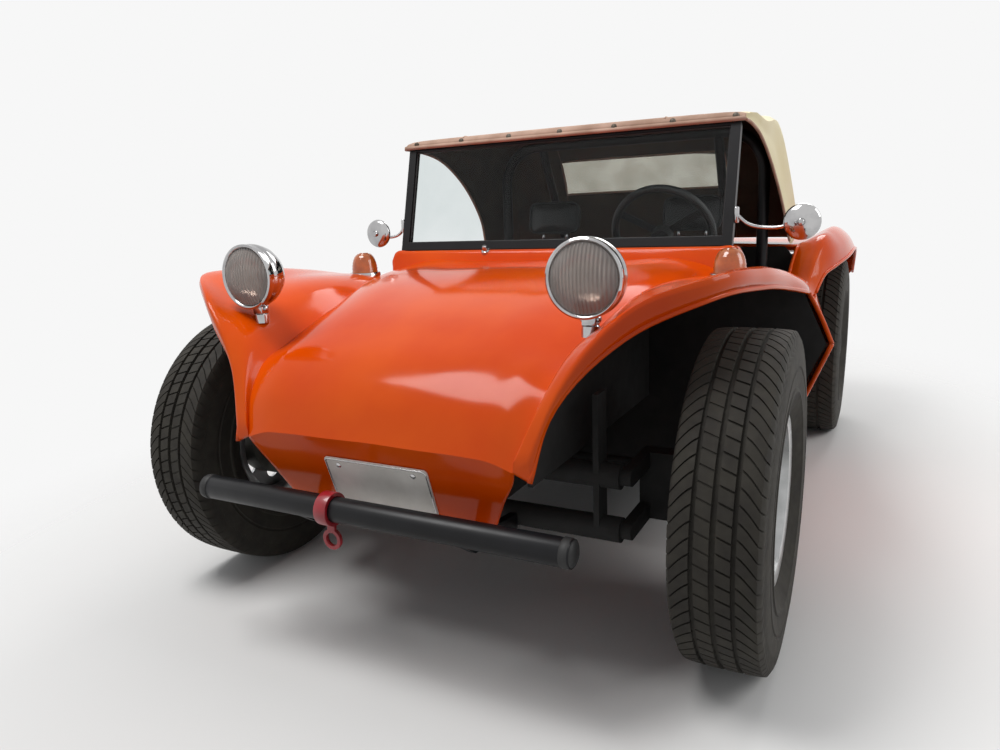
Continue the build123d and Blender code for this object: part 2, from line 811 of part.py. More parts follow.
with BuildPart() as steering_wheel:
    with BuildSketch(COLUMN_PLANE):
        Circle(STEER_HUB_R)
    extrude(amount=-STEER_HUB_H)
    with BuildSketch(COLUMN_PLANE):
        for angle in (90, 210, 330):
            with Locations(Rotation(0, 0, angle)):
                with Locations((STEERING_R / 2, 0)):
                    Rectangle(STEERING_R, SPOKE_W)
    extrude(amount=-SPOKE_T)
    with BuildSketch(COLUMN_PLANE.offset(-SPOKE_T / 2).rotated((90, 0, 0))):
        with Locations((STEERING_R, 0)):
            Circle(STEERING_GRIP_R)
    revolve(axis=Axis((COLUMN_X, front(WHEEL_HUB_Y), WHEEL_HUB_Z), COLUMN_DIR))
    with BuildSketch(COLUMN_PLANE):
        Circle(SHAFT_R)
    extrude(amount=-COLUMN_TOP - SHAFT_DEPTH)
save(steering_wheel.part, "steering_wheel")

# Gear lever, hand brake and pedals
with BuildPart() as floor_levers:
    with Locations((0, front(LEVER_Y), PAN_Z + PAN_T + TUNNEL_H)):
        Cylinder(9, LEVER_H, align=(C, C, MIN))
        Cylinder(36, 14, align=(C, C, MIN))
    with Locations((0, front(LEVER_Y), PAN_Z + PAN_T + TUNNEL_H + LEVER_H)):
        Sphere(24)
    with Locations((0, front(LEVER_Y + 190), PAN_Z + PAN_T + TUNNEL_H)):
        Box(40, 90, 30, align=(C, C, MIN))
    with BuildSketch(Plane(origin=(0, front(LEVER_Y + 210), PAN_Z + PAN_T + TUNNEL_H + 15), z_dir=(0, -1, 0.55))):
        Circle(12)
    extrude(amount=230)
save(floor_levers.part, "floor_levers")

with BuildPart() as pedals:
    for x in PEDAL_X:
        with Locations((x, front(PEDAL_Y), PAN_Z + PAN_T)):
            Box(14, 24, 150, align=(C, C, MIN))
        with Locations(Location((x, front(PEDAL_Y), PAN_Z + PAN_T + 165), (55, 0, 0))):
            Box(58, 70, 10)
save(pedals.part, "pedals")

# Headlamps on forked brackets, and their lenses
LAMP_PLANE = Plane(origin=(LAMP_X, front(LAMP_Y), LAMP_Z), x_dir=(1, 0, 0), z_dir=(0, -1, 0))
with BuildPart() as headlamps:
    with BuildSketch(Plane.YZ.offset(LAMP_X)):
        with BuildLine():
            y = front(LAMP_Y)
            Polyline(
                (y + 16, LAMP_Z),
                (y + 16, LAMP_Z + LENS_R),
                (y, LAMP_Z + LENS_R),
                (y, LAMP_Z + LAMP_R - 5),
                (y + 5, LAMP_Z + LAMP_R),
                (y + 20, LAMP_Z + LAMP_R),
            )
            r_mid, s_mid = cap_middle(LAMP_R, LAMP_DEPTH - 30)
            Line((y + 20, LAMP_Z + LAMP_R), (y + 30, LAMP_Z + LAMP_R))
            ThreePointArc(
                (y + 30, LAMP_Z + LAMP_R),
                (y + 30 + s_mid, LAMP_Z + r_mid),
                (y + LAMP_DEPTH, LAMP_Z),
            )
            Line((y + LAMP_DEPTH, LAMP_Z), (y + 16, LAMP_Z))
        make_face()
    revolve(axis=Axis((LAMP_X, front(LAMP_Y), LAMP_Z), (0, 1, 0)))
    with Locations((LAMP_X, front(LAMP_Y + LAMP_STEM_Y), LAMP_FOOT_Z)):
        Cylinder(LAMP_STEM_R, LAMP_Z - LAMP_R - LAMP_FOOT_Z + 30, align=(C, C, MIN))
    mirror(about=Plane.YZ)
save(headlamps.part, "headlamps")

with BuildPart() as headlamp_lenses:
    with BuildSketch(Plane.YZ.offset(LAMP_X)):
        with BuildLine():
            y = front(LAMP_Y)
            Polyline(
                (y - LENS_BULGE, LAMP_Z), (y + 15.8, LAMP_Z), (y + 15.8, LAMP_Z + LENS_R - GAP),
                (y + 2, LAMP_Z + LENS_R - GAP),
            )
            r_mid, s_mid = cap_middle(LENS_R - GAP, LENS_BULGE + 2)
            ThreePointArc(
                (y + 2, LAMP_Z + LENS_R - GAP),
                (y + 2 - s_mid, LAMP_Z + r_mid),
                (y - LENS_BULGE, LAMP_Z),
            )
        make_face()
    revolve(axis=Axis((LAMP_X, front(LAMP_Y), LAMP_Z), (0, 1, 0)))
    mirror(about=Plane.YZ)
save(headlamp_lenses.part, "headlamp_lenses")

# Amber turn lamps on the fenders, tail lamps on the tail panels
with BuildPart() as turn_lamps:
    with BuildSketch(Plane.XZ.offset(-front(TURN_Y))):
        with BuildLine():
            Polyline(
                (TURN_X, TURN_Z), (TURN_X + TURN_R, TURN_Z), (TURN_X + TURN_R, TURN_Z + TURN_FOOT)
            )
            r_mid, s_mid = cap_middle(TURN_R, TURN_H - TURN_FOOT)
            ThreePointArc(
                (TURN_X + TURN_R, TURN_Z + TURN_FOOT),
                (TURN_X + r_mid, TURN_Z + TURN_FOOT + s_mid),
                (TURN_X, TURN_Z + TURN_H),
            )
            Line((TURN_X, TURN_Z + TURN_H), (TURN_X, TURN_Z))
        make_face()
    revolve(axis=Axis((TURN_X, front(TURN_Y), 0), (0, 0, 1)))
    mirror(about=Plane.YZ)
save(turn_lamps.part, "turn_lamps")

with BuildPart() as tail_lamps:
    with BuildSketch(across(rear(REAR_STATIONS[-1][0]))):
        with Locations((TAIL_X, TAIL_Z)):
            Circle(TAIL_R)
    extrude(amount=-TAIL_H, taper=8)
    mirror(about=Plane.YZ)
save(tail_lamps.part, "tail_lamps")

# Round mirrors on bowed arms from the windscreen posts
with BuildPart() as mirrors:
    post_y = front(SCREEN_Y) + MIRROR_FOOT * sin(radians(SCREEN_RAKE))
    post_z = COWL_Z + MIRROR_FOOT * cos(radians(SCREEN_RAKE))
    for side, reach in zip((1, -1), MIRROR_REACH):
        mirror_x = side * (SCREEN_W / 2 + reach)
        with BuildLine() as arm:
            Spline(
                (side * (SCREEN_W / 2 + 6), post_y, post_z),
                (mirror_x - side * 60, front(MIRROR_Y) + 16, MIRROR_Z + 52),
                (mirror_x, front(MIRROR_Y) + 8, MIRROR_Z),
            )
        with BuildSketch(Plane(origin=arm.line @ 0, z_dir=arm.line % 0)):
            Circle(MIRROR_ROD_R)
        sweep(path=arm.line)
        with BuildSketch(across(front(MIRROR_Y) + MIRROR_T / 2)):
            with Locations((mirror_x, MIRROR_Z)):
                Circle(MIRROR_R)
        extrude(amount=MIRROR_T)
        with BuildSketch(Plane.YZ.offset(side * SCREEN_W / 2)):
            with Locations((post_y, post_z)):
                Rectangle(22, 44)
        extrude(amount=side * 12)
save(mirrors.part, "mirrors")

# Front bumper tube with its two arms to the beam
UPPER_TUBE_Z = FRONT_AXLE_Z + BEAM_RISE
LOWER_TUBE_Z = FRONT_AXLE_Z - BEAM_RISE
with BuildPart() as front_bumper:
    with BuildSketch(Plane.YZ.offset(-BUMPER_HALF)):
        with Locations((front(BUMPER_Y), BUMPER_Z)):
            Circle(BUMPER_R)
    extrude(amount=2 * BUMPER_HALF)
    for x in (-BUMPER_ARM_X, BUMPER_ARM_X):
        with BuildSketch(Plane.YZ.offset(x)):
            with BuildLine():
                Polyline(*[(front(y), z) for y, z in BUMPER_ARM], close=True)
            make_face()
        extrude(amount=10, both=True)
save(front_bumper.part, "front_bumper")

with BuildPart() as tow_hook:
    with BuildSketch(Plane.YZ.offset(TOW_X)):
        with Locations((front(BUMPER_Y), BUMPER_Z)):
            Circle(BUMPER_R + TOW_T)
            Circle(BUMPER_R + RUNNING, mode=Mode.SUBTRACT)
    extrude(amount=TOW_BAND / 2, both=True)
    with BuildSketch(across(front(BUMPER_Y))):
        with Locations((TOW_X, TOW_RING_Z)):
            Circle(TOW_RING_R)
        with Locations((TOW_X, (TOW_RING_Z + BUMPER_Z - BUMPER_R) / 2)):
            Rectangle(22, BUMPER_Z - BUMPER_R - TOW_RING_Z - 4)
        with Locations((TOW_X, TOW_RING_Z)):
            Circle(TOW_BORE_R, mode=Mode.SUBTRACT)
    extrude(amount=TOW_T / 2, both=True)
save(tow_hook.part, "tow_hook")

with BuildPart() as number_plate:
    with BuildSketch(APRON_PLANE):
        with Locations((0, PLATE_MID)):
            RectangleRounded(PLATE_W, PLATE_H, 10)
    extrude(amount=PLATE_T)
save(number_plate.part, "number_plate")

# Front beam: two tubes, the clamp to the frame head and two shock towers
with BuildPart() as front_beam:
    for z in (UPPER_TUBE_Z, LOWER_TUBE_Z):
        with BuildSketch(Plane.YZ.offset(-BEAM_HALF)):
            with Locations((front(BEAM_Y), z)):
                Circle(BEAM_R)
        extrude(amount=2 * BEAM_HALF)
    with Locations((0, front(HEAD_FRONT_Y), FRONT_AXLE_Z)):
        Box(TUNNEL_W, HEAD_FRONT_Y - BEAM_Y, 2 * BEAM_RISE + BEAM_R, align=(C, MAX, C))
    for side in (1, -1):
        with Locations((side * TOWER_X, front(BEAM_Y), LOWER_TUBE_Z)):
            Box(14, 56, TOWER_H, align=(C, C, MIN))
save(front_beam.part, "front_beam")

# Trailing arms, each pair ending in a king pin carrier
LUG_GAP = KNUCKLE_H / 2 + 0.5
with BuildPart() as front_arms:
    for z in (UPPER_TUBE_Z, LOWER_TUBE_Z):
        with Locations((BEAM_HALF, front(BEAM_Y), z)):
            Cylinder(ARM_H / 2, ARM_W, rotation=(0, 90, 0), align=(C, C, MIN))
            Box(ARM_W, -BEAM_Y, ARM_H, align=(MIN, MIN, C))
    with Locations((BEAM_HALF, front(0), FRONT_AXLE_Z)):
        Box(POST_X - BEAM_HALF, POST_W, 2 * BEAM_RISE + ARM_H, align=(MIN, C, C))
    for sign in (1, -1):
        lug_h = BEAM_RISE + ARM_H / 2 - LUG_GAP
        with Locations((POST_X, front(0), FRONT_AXLE_Z + sign * (LUG_GAP + lug_h / 2))):
            Box(KING_X + 20 - POST_X, POST_W - 8, lug_h, align=(MIN, C, C))
    with Locations((KING_X, front(0), FRONT_AXLE_Z)):
        Cylinder(KING_R, 2 * LUG_GAP)
    mirror(about=Plane.YZ)
save(front_arms.part, "front_arms")

# Knuckles: sleeve on the king pin, spindle and steering arm
for name, side in (("left", 1), ("right", -1)):
    with BuildPart() as knuckle:
        with Locations((side * KING_X, front(0), FRONT_AXLE_Z)):
            Cylinder(KNUCKLE_R, KNUCKLE_H)
        with BuildSketch(Plane.YZ.offset(side * KING_X)):
            with Locations((front(0), FRONT_AXLE_Z)):
                Circle(SPINDLE_R)
        extrude(amount=side * (FRONT_TRACK / 2 + DISC_OUTSET - DISC_T / 2 - SPINDLE_END - KING_X))
        with BuildSketch(Plane.XY.offset(STEER_ARM_Z)):
            with Locations((side * KING_X, front(STEER_ARM / 2))):
                Rectangle(26, STEER_ARM)
            with Locations((side * KING_X, front(STEER_ARM))):
                Circle(18)
        extrude(amount=STEER_ARM_T)
        with BuildSketch(Plane.XY.offset(STEER_ARM_Z)):
            with Locations((side * KING_X, front(STEER_ARM))):
                Circle(9)
        extrude(amount=ROD_Z + ROD_R + GAP - STEER_ARM_Z)
        with Locations((side * KING_X, front(0), FRONT_AXLE_Z)):
            Cylinder(KING_R + RUNNING, KNUCKLE_H + 2, mode=Mode.SUBTRACT)
    save(knuckle.part, f"knuckle_{name}")

# Track rod, slung under the steering arms' eyes
with BuildPart() as track_rod:
    with BuildSketch(Plane.YZ.offset(-KING_X)):
        with Locations((front(STEER_ARM), ROD_Z)):
            Circle(ROD_R)
    extrude(amount=2 * KING_X)
    for side in (1, -1):
        with Locations((side * KING_X, front(STEER_ARM), ROD_Z)):
            Cylinder(17, 2 * ROD_R)
save(track_rod.part, "track_rod")

# Rear torsion tube with spring plates and the fork that holds the drive
with BuildPart() as rear_frame:
    with BuildSketch(Plane.YZ.offset(-TORSION_HALF)):
        with Locations((rear(TORSION_Y), TORSION_Z)):
            Circle(TORSION_R)
    extrude(amount=2 * TORSION_HALF)
    for side in (1, -1):
        with BuildSketch(Plane.YZ.offset(side * TORSION_HALF)):
            with BuildLine():
                Polyline(
                    (rear(TORSION_Y) - 50, TORSION_Z - 44),
                    (rear(0) + 60, REAR_AXLE_Z - 58),
                    (rear(0) + 60, REAR_AXLE_Z + 58),
                    (rear(TORSION_Y) - 50, TORSION_Z + 44),
                    close=True,
                )
            make_face()
            with Locations((rear(0), REAR_AXLE_Z)):
                Circle(AXLE_TUBE_R + RUNNING, mode=Mode.SUBTRACT)
        extrude(amount=side * 12)
        with Locations((side * FORK_X, rear(TORSION_Y), FORK_Z)):
            Box(24, FLANGE_Y - TORSION_Y, 36, align=(C, MIN, C))
save(rear_frame.part, "rear_frame")

# Transaxle with its axle tubes and spindles
REAR_SPINDLE = REAR_TRACK / 2 + DISC_OUTSET - DISC_T / 2 - SPINDLE_END
AXLE_TUBE_END = REAR_SPINDLE + SPINDLE_END - DRUM_W - 8
with BuildPart() as transaxle:
    with BuildSketch(Plane.XY.offset(REAR_AXLE_Z)):
        with BuildLine():
            Polyline(
                (0, rear(GEARBOX_Y)),
                (70, rear(GEARBOX_Y)),
                (92, rear(GEARBOX_Y) + 40),
                (92, rear(-60)),
                (116, rear(0)),
                (112, rear(70)),
                (BELL_R - 12, rear(BELL_Y - 20)),
                (BELL_R - 12, rear(BELL_Y)),
                (0, rear(BELL_Y)),
                close=True,
            )
        make_face()
    revolve(axis=Axis((0, 0, REAR_AXLE_Z), (0, 1, 0)))
    with BuildSketch(across(rear(BELL_Y))):
        with Locations((0, FORK_Z + 10)):
            Rectangle(2 * FORK_X + 40, 76)
    extrude(amount=BELL_Y - FLANGE_Y)
    with BuildSketch(Plane.YZ.offset(-AXLE_TUBE_END)):
        with Locations((rear(0), REAR_AXLE_Z)):
            Circle(AXLE_TUBE_R)
    extrude(amount=2 * AXLE_TUBE_END)
    with BuildSketch(Plane.YZ.offset(-REAR_SPINDLE)):
        with Locations((rear(0), REAR_AXLE_Z)):
            Circle(SPINDLE_R)
    extrude(amount=2 * REAR_SPINDLE)
save(transaxle.part, "transaxle")

# Flat engine: case, finned cylinders, heads, generator and pulleys
with BuildPart() as engine:
    with Locations((0, rear(BELL_Y), CASE_Z)):
        Box(CASE_W, CASE_L, CASE_H, align=(C, MIN, MIN))
    for y in CYL_Y:
        with BuildSketch(Plane.YZ.offset(-HEAD_X)):
            with Locations((rear(y), REAR_AXLE_Z)):
                Circle(CYL_R)
        extrude(amount=2 * HEAD_X)
        for side in (1, -1):
            for i in range(FIN_COUNT):
                with BuildSketch(Plane.YZ.offset(side * (FIN_X + i * FIN_PITCH))):
                    with Locations((rear(y), REAR_AXLE_Z)):
                        Circle(FIN_R)
                extrude(amount=side * FIN_T)
    for side in (1, -1):
        with Locations((side * HEAD_X, rear((CYL_Y[0] + CYL_Y[1]) / 2), REAR_AXLE_Z)):
            Box(HEAD_W, CYL_Y[1] - CYL_Y[0] + 2 * FIN_R, 2 * FIN_R)
    with BuildSketch(across(rear(GEN_Y[0]))):
        with Locations((0, GEN_Z)):
            Circle(GEN_R)
    extrude(amount=-(GEN_Y[1] - GEN_Y[0]))
    with Locations((0, rear((GEN_Y[0] + GEN_Y[1]) / 2), CASE_Z + CASE_H)):
        Box(70, 90, GEN_Z - CASE_Z - CASE_H, align=(C, C, MIN))
    for z, r in ((GEN_Z, GEN_PULLEY_R), (REAR_AXLE_Z, CRANK_PULLEY_R)):
        with BuildSketch(across(rear(PULLEY_Y))):
            with Locations((0, z)):
                Circle(r)
        extrude(amount=-22)
        with BuildSketch(across(rear(GEN_Y[1] - 10))):
            with Locations((0, z)):
                Circle(20)
        extrude(amount=-(PULLEY_Y - GEN_Y[1] + 14))
save(engine.part, "engine")

with BuildPart() as fan_shroud:
    with BuildSketch(across(rear(SHROUD_Y))):
        with BuildLine():
            Polyline(
                (-SHROUD_DIP_X, CASE_Z + CASE_H),
                (-SHROUD_HALF, CASE_Z + CASE_H),
                (-SHROUD_HALF, SHROUD_Z[0]),
                (-FAN_R, SHROUD_Z[1]),
            )
            ThreePointArc((-FAN_R, SHROUD_Z[1]), (0, SHROUD_Z[2]), (FAN_R, SHROUD_Z[1]))
            Polyline(
                (FAN_R, SHROUD_Z[1]),
                (SHROUD_HALF, SHROUD_Z[0]),
                (SHROUD_HALF, CASE_Z + CASE_H),
                (-SHROUD_DIP_X, CASE_Z + CASE_H),
            )
        make_face()
    extrude(amount=-SHROUD_T)
save(fan_shroud.part, "fan_shroud")

with BuildPart() as carburettor:
    with Locations((CARB_X, rear(CARB_Y), CASE_Z + CASE_H)):
        Cylinder(26, 130, align=(C, C, MIN))
    with Locations((CARB_X, rear(CARB_Y), CASE_Z + CASE_H + 110)):
        Cylinder(CLEANER_R, CLEANER_H, align=(C, C, MIN))
save(carburettor.part, "carburettor")

# Exhaust: cross muffler, header pipes from the heads and two tail pipes
with BuildPart() as exhaust:
    with BuildSketch(Plane.YZ.offset(-MUFFLER_HALF)):
        with Locations((rear(MUFFLER_Y), MUFFLER_Z)):
            Circle(MUFFLER_R)
    extrude(amount=2 * MUFFLER_HALF)
    for side in (1, -1):
        head_y = rear(CYL_Y[1]) + FIN_R
        with BuildLine() as header:
            FilletPolyline(
                (side * PIPE_X, head_y, PIPE_Z),
                (side * PIPE_X, rear(MUFFLER_Y), PIPE_Z),
                (side * PIPE_X, rear(MUFFLER_Y), MUFFLER_Z),
                (side * (MUFFLER_HALF - 20), rear(MUFFLER_Y), MUFFLER_Z),
                radius=PIPE_BEND_R,
            )
        with BuildSketch(across(head_y)):
            with Locations((side * PIPE_X, PIPE_Z)):
                Circle(PIPE_R)
        sweep(path=header.line)
        with BuildSketch(across(rear(MUFFLER_Y))):
            with Locations((side * TIP_X, MUFFLER_Z - 24)):
                Circle(TIP_R)
        extrude(amount=-TIP_LEN)
save(exhaust.part, "exhaust")

# Rear bumper bar round the engine, on the bay walls
with BuildPart() as rear_bumper:
    bar_x = BAY_HALF + WALL_T / 2
    bar_y = rear(REAR_OVERHANG - REAR_BAR_R)
    with BuildLine() as bar:
        FilletPolyline(
            (-bar_x, rear(BAY_OUTLINE[1][0]), REAR_BAR_Z),
            (-bar_x, bar_y, REAR_BAR_Z),
            (bar_x, bar_y, REAR_BAR_Z),
            (bar_x, rear(BAY_OUTLINE[1][0]), REAR_BAR_Z),
            radius=90,
        )
    with BuildSketch(across(rear(BAY_OUTLINE[1][0]))):
        with Locations((-bar_x, REAR_BAR_Z)):
            Circle(REAR_BAR_R)
    sweep(path=bar.line)
save(rear_bumper.part, "rear_bumper")

# Wheels
FRONT_RIM_W = FRONT_TYRE_W - 45
REAR_RIM_W = REAR_TYRE_W - 45
for end, end_y, axle_z, track, tyre_r, tyre_w, rim_w in (
    ("front", front(0), FRONT_AXLE_Z, FRONT_TRACK, FRONT_TYRE_R, FRONT_TYRE_W, FRONT_RIM_W),
    ("rear", rear(0), REAR_AXLE_Z, REAR_TRACK, REAR_TYRE_R, REAR_TYRE_W, REAR_RIM_W),
):
    for name, side in (("left", 1), ("right", -1)):
        mid_x = side * track / 2
        axle = Axis((mid_x, end_y, axle_z), (1, 0, 0))
        disc_in = DISC_OUTSET - DISC_T / 2
        plan = Plane.XZ.offset(-end_y)
        with BuildPart() as rim:
            with BuildSketch(plan):
                with Locations((mid_x, axle_z)):
                    with BuildLine():
                        w = rim_w / 2
                        Polyline(
                            *[
                                (mid_x + side * x, axle_z + r)
                                for x, r in (
                                    (-w, RIM_R + RIM_FLANGE),
                                    (-w + 8, RIM_R + RIM_FLANGE),
                                    (-w + 12, RIM_R),
                                    (w - 12, RIM_R),
                                    (w - 8, RIM_R + RIM_FLANGE),
                                    (w, RIM_R + RIM_FLANGE),
                                    (w - 4, RIM_R - RIM_WALL),
                                    (disc_in + DISC_T, RIM_R - RIM_WALL),
                                    (disc_in + DISC_T, HUB_CAP_R),
                                    (disc_in + DISC_T + HUB_CAP_H, HUB_CAP_R - 6),
                                    (disc_in + DISC_T + HUB_CAP_H, 0),
                                    (disc_in, 0),
                                    (disc_in, RIM_R - RIM_WALL),
                                    (-w + 4, RIM_R - RIM_WALL),
                                )
                            ],
                            close=True,
                        )
                    make_face()
            revolve(axis=axle)
            with BuildSketch(Plane.YZ.offset(mid_x)):
                with Locations((end_y, axle_z)):
                    with PolarLocations(SLOT_CIRCLE_R, SLOT_COUNT):
                        Circle(SLOT_R)
            extrude(amount=side * (disc_in + 2 * DISC_T), mode=Mode.SUBTRACT)
        save(rim.part, f"rim_{end}_{name}")

        with BuildPart() as tyre:
            with BuildSketch(plan):
                with BuildLine():
                    Polyline(
                        *[
                            (mid_x + x, axle_z + r)
                            for x, r in (
                                (-rim_w / 2 + 13, RIM_R),
                                (-rim_w / 2 + 9, RIM_R + RIM_FLANGE + 2),
                                (-tyre_w / 2, RIM_R + 0.42 * (tyre_r - RIM_R)),
                                (-tyre_w / 2 + 6, tyre_r - 36),
                                (-tyre_w / 2 + 26, tyre_r - 6),
                                (0, tyre_r),
                                (tyre_w / 2 - 26, tyre_r - 6),
                                (tyre_w / 2 - 6, tyre_r - 36),
                                (tyre_w / 2, RIM_R + 0.42 * (tyre_r - RIM_R)),
                                (rim_w / 2 - 9, RIM_R + RIM_FLANGE + 2),
                                (rim_w / 2 - 13, RIM_R),
                            )
                        ],
                        close=True,
                    )
                make_face()
            revolve(axis=axle)
        save(tyre.part, f"tyre_{end}_{name}")

        with BuildPart() as drum:
            with BuildSketch(Plane.YZ.offset(mid_x + side * disc_in)):
                with Locations((end_y, axle_z)):
                    Circle(DRUM_R)
                    Circle(SPINDLE_R + RUNNING, mode=Mode.SUBTRACT)
            extrude(amount=-side * DRUM_W)
        save(drum.part, f"drum_{end}_{name}")
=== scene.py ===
"""Dune buggy: moulded body, cloth top, sewn seats, tyres, lamps and finishes over the solids."""

from math import cos, exp, pi, radians, sin

import bmesh
import bpy
from mathutils import Matrix, Vector, noise


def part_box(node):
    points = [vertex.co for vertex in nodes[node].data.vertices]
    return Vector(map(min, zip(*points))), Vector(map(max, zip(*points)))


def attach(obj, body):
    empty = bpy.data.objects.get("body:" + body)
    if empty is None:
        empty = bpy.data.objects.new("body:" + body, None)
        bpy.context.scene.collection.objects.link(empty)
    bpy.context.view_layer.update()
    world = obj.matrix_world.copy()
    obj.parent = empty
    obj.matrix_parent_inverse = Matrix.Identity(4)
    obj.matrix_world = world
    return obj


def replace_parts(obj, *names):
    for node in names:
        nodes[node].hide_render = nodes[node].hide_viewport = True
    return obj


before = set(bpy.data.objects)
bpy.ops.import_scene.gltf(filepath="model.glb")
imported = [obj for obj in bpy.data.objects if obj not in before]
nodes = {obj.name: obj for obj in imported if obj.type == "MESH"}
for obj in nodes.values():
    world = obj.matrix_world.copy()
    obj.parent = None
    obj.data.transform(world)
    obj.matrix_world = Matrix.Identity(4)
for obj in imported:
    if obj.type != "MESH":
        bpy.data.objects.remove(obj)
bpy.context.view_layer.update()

# Lengths from the model, in millimetres; heights are over the body's datum, RIDE above the ground
FRONT_Y = -1073.5
REAR_Y = 958.5
RIDE = 23
WHEELS = {
    # end: tyre radius, tyre width, half width at the rim, track, axle's y
    "front": (395, 195, 75, 1505, FRONT_Y),
    "rear": (400, 265, 110, 1430, REAR_Y),
}
SIDES = (("left", 1), ("right", -1))


# Places and curves
def front(x, y, z):
    """A point in millimetres behind the front axle, as a vector in metres."""
    return Vector((x, FRONT_Y + y, z + RIDE)) / 1000


def section(side, y, points):
    """Points (x, z) across one side of the car, all at one y."""
    return [front(side * x, y, z) for x, z in points]


def bulge(a, b, part):
    """Middle of an outward bow from a to b, its rise a part of the chord."""
    return ((a[0] + b[0]) / 2 + part * (a[1] - b[1]), (a[1] + b[1]) / 2 + part * (b[0] - a[0]))


def smooth_line(points, steps):
    """Points on a smooth curve through the given ones."""
    points = [Vector(p) for p in points]
    gaps = [max((b - a).length, 1e-6) for a, b in zip(points, points[1:])]
    slopes = [(b - a) / g for a, b, g in zip(points, points[1:], gaps)]
    tangents = [slopes[0]]
    for i in range(1, len(points) - 1):
        total = gaps[i - 1] + gaps[i]
        tangents.append((slopes[i - 1] * gaps[i] + slopes[i] * gaps[i - 1]) / total)
    tangents.append(slopes[-1])
    line = []
    for i, gap in enumerate(gaps):
        for k in range(steps):
            t = k / steps
            a, b = 2 * t**3 - 3 * t**2 + 1, t**3 - 2 * t**2 + t
            c, d = 3 * t**2 - 2 * t**3, t**3 - t**2
            start = a * points[i] + b * gap * tangents[i]
            line.append(start + c * points[i + 1] + d * gap * tangents[i + 1])
    return line + [points[-1]]


def surface(rows, along, across):
    """A dense smooth net of points through rows of points."""
    dense = [smooth_line(row, across) for row in rows]
    columns = [smooth_line(column, along) for column in zip(*dense)]
    return [list(row) for row in zip(*columns)]


# Shapes
def skin(bm, net, facing=None):
    """A grid drawn over a net of points, its faces turned to face a way."""
    wide, deep = len(net[0]), len(net)
    made = bmesh.ops.create_grid(bm, x_segments=wide - 1, y_segments=deep - 1, size=1)["verts"]
    for v, p in zip(made, [p for row in net for p in row]):
        v.co = p
    faces = list({f for v in made for f in v.link_faces})
    if facing is not None:
        bm.normal_update()
        total = sum((f.normal * f.calc_area() for f in faces), Vector())
        if total.dot(Vector(facing)) < 0:
            bmesh.ops.reverse_faces(bm, faces=faces)
    return made


def weld(bm, distance=1e-5):
    """Joins points that fall together, within a distance in metres."""
    bmesh.ops.remove_doubles(bm, verts=bm.verts, dist=distance)
    bmesh.ops.dissolve_degenerate(bm, dist=1e-7, edges=bm.edges)


def spun(bm, profile, origin, axis, steps=48):
    """A profile of (radius, along) in millimetres spun round an axis."""
    axis = Vector(axis).normalized()
    spoke = axis.orthogonal().normalized()
    line = [bm.verts.new(origin + (spoke * r + axis * h) / 1000) for r, h in profile]
    edges = [bm.edges.new(pair) for pair in zip(line, line[1:])]
    bmesh.ops.spin(
        bm,
        geom=line + edges,
        cent=origin,
        axis=axis,
        dvec=(0, 0, 0),
        angle=2 * pi,
        steps=steps,
        use_merge=True,
        use_duplicate=False,
    )
    weld(bm)


def tube(bm, path, radius, sides=10, closed=False):
    """A round tube along points in metres, its radius or radii in millimetres."""
    path = [Vector(p) for p in path]
    radii = radius if hasattr(radius, "__len__") else [radius] * len(path)
    side = (path[1] - path[0]).orthogonal().normalized()
    net = []
    for i, p in enumerate(path):
        before = path[i - 1] if i or closed else p
        after = path[(i + 1) % len(path)] if i < len(path) - 1 or closed else p
        ahead = (after - before).normalized()
        side = (side - ahead * side.dot(ahead)).normalized()
        up = ahead.cross(side)
        turns = [2 * pi * k / sides for k in range(sides + 1)]
        net.append([p + (cos(a) * side + sin(a) * up) * radii[i] / 1000 for a in turns])
    if closed:
        net.append(net[0])
    made = skin(bm, net)
    bmesh.ops.remove_doubles(bm, verts=made, dist=1e-6)
    if not closed:
        rims = [e for v in made if v.is_valid for e in v.link_edges if e.is_boundary]
        bmesh.ops.holes_fill(bm, edges=list(set(rims)), sides=sides)


def block(bm, low, high, round_by=2.0):
    """A box between two corners in metres, its edges rounded in millimetres."""
    low, high = Vector(low), Vector(high)
    place = Matrix.Translation((low + high) / 2) @ Matrix.Diagonal((*(high - low), 1))
    made = bmesh.ops.create_cube(bm, size=1.0, matrix=place)["verts"]
    edges = list({e for v in made for e in v.link_edges})
    bmesh.ops.bevel(
        bm, geom=edges, offset=round_by / 1000, affect="EDGES", segments=2, profile=0.5, material=-1
    )


def shaped(name, bm):
    """An object in the scene with a bmesh's shape."""
    mesh = bpy.data.meshes.new(name)
    bm.to_mesh(mesh)
    bm.free()
    obj = bpy.data.objects.new(name, mesh)
    bpy.context.collection.objects.link(obj)
    return obj


def piece(name, bm, material, body="chassis", turn=True, crease=None):
    """Turns a bmesh into a smooth piece that rides on a body."""
    if turn:
        bmesh.ops.recalc_face_normals(bm, faces=bm.faces)
    if crease:
        for edge in bm.edges:
            if len(edge.link_faces) == 2 and edge.calc_face_angle(0) > radians(crease):
                edge.smooth = False
    obj = shaped(name, bm)
    obj.data.polygons.foreach_set("use_smooth", [True] * len(obj.data.polygons))
    obj.data.materials.append(material)
    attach(obj, body)
    return obj


def modify(obj, kind, **settings):
    """Adds a modifier with its settings."""
    mod = obj.modifiers.new(kind.lower(), kind)
    for key, value in settings.items():
        setattr(mod, key, value)
    return mod


# Finishes
TONE_STOPS = (0.35, 0.65)  # shares of the noise where the low and the high tone start
WAVE_LENGTH = 314  # of Blender's wave texture at scale 1, in millimetres
THREAD_HEIGHT = 0.3
WEAVE = 3.2  # spacing of the canvas's threads, drawn coarse so that they show


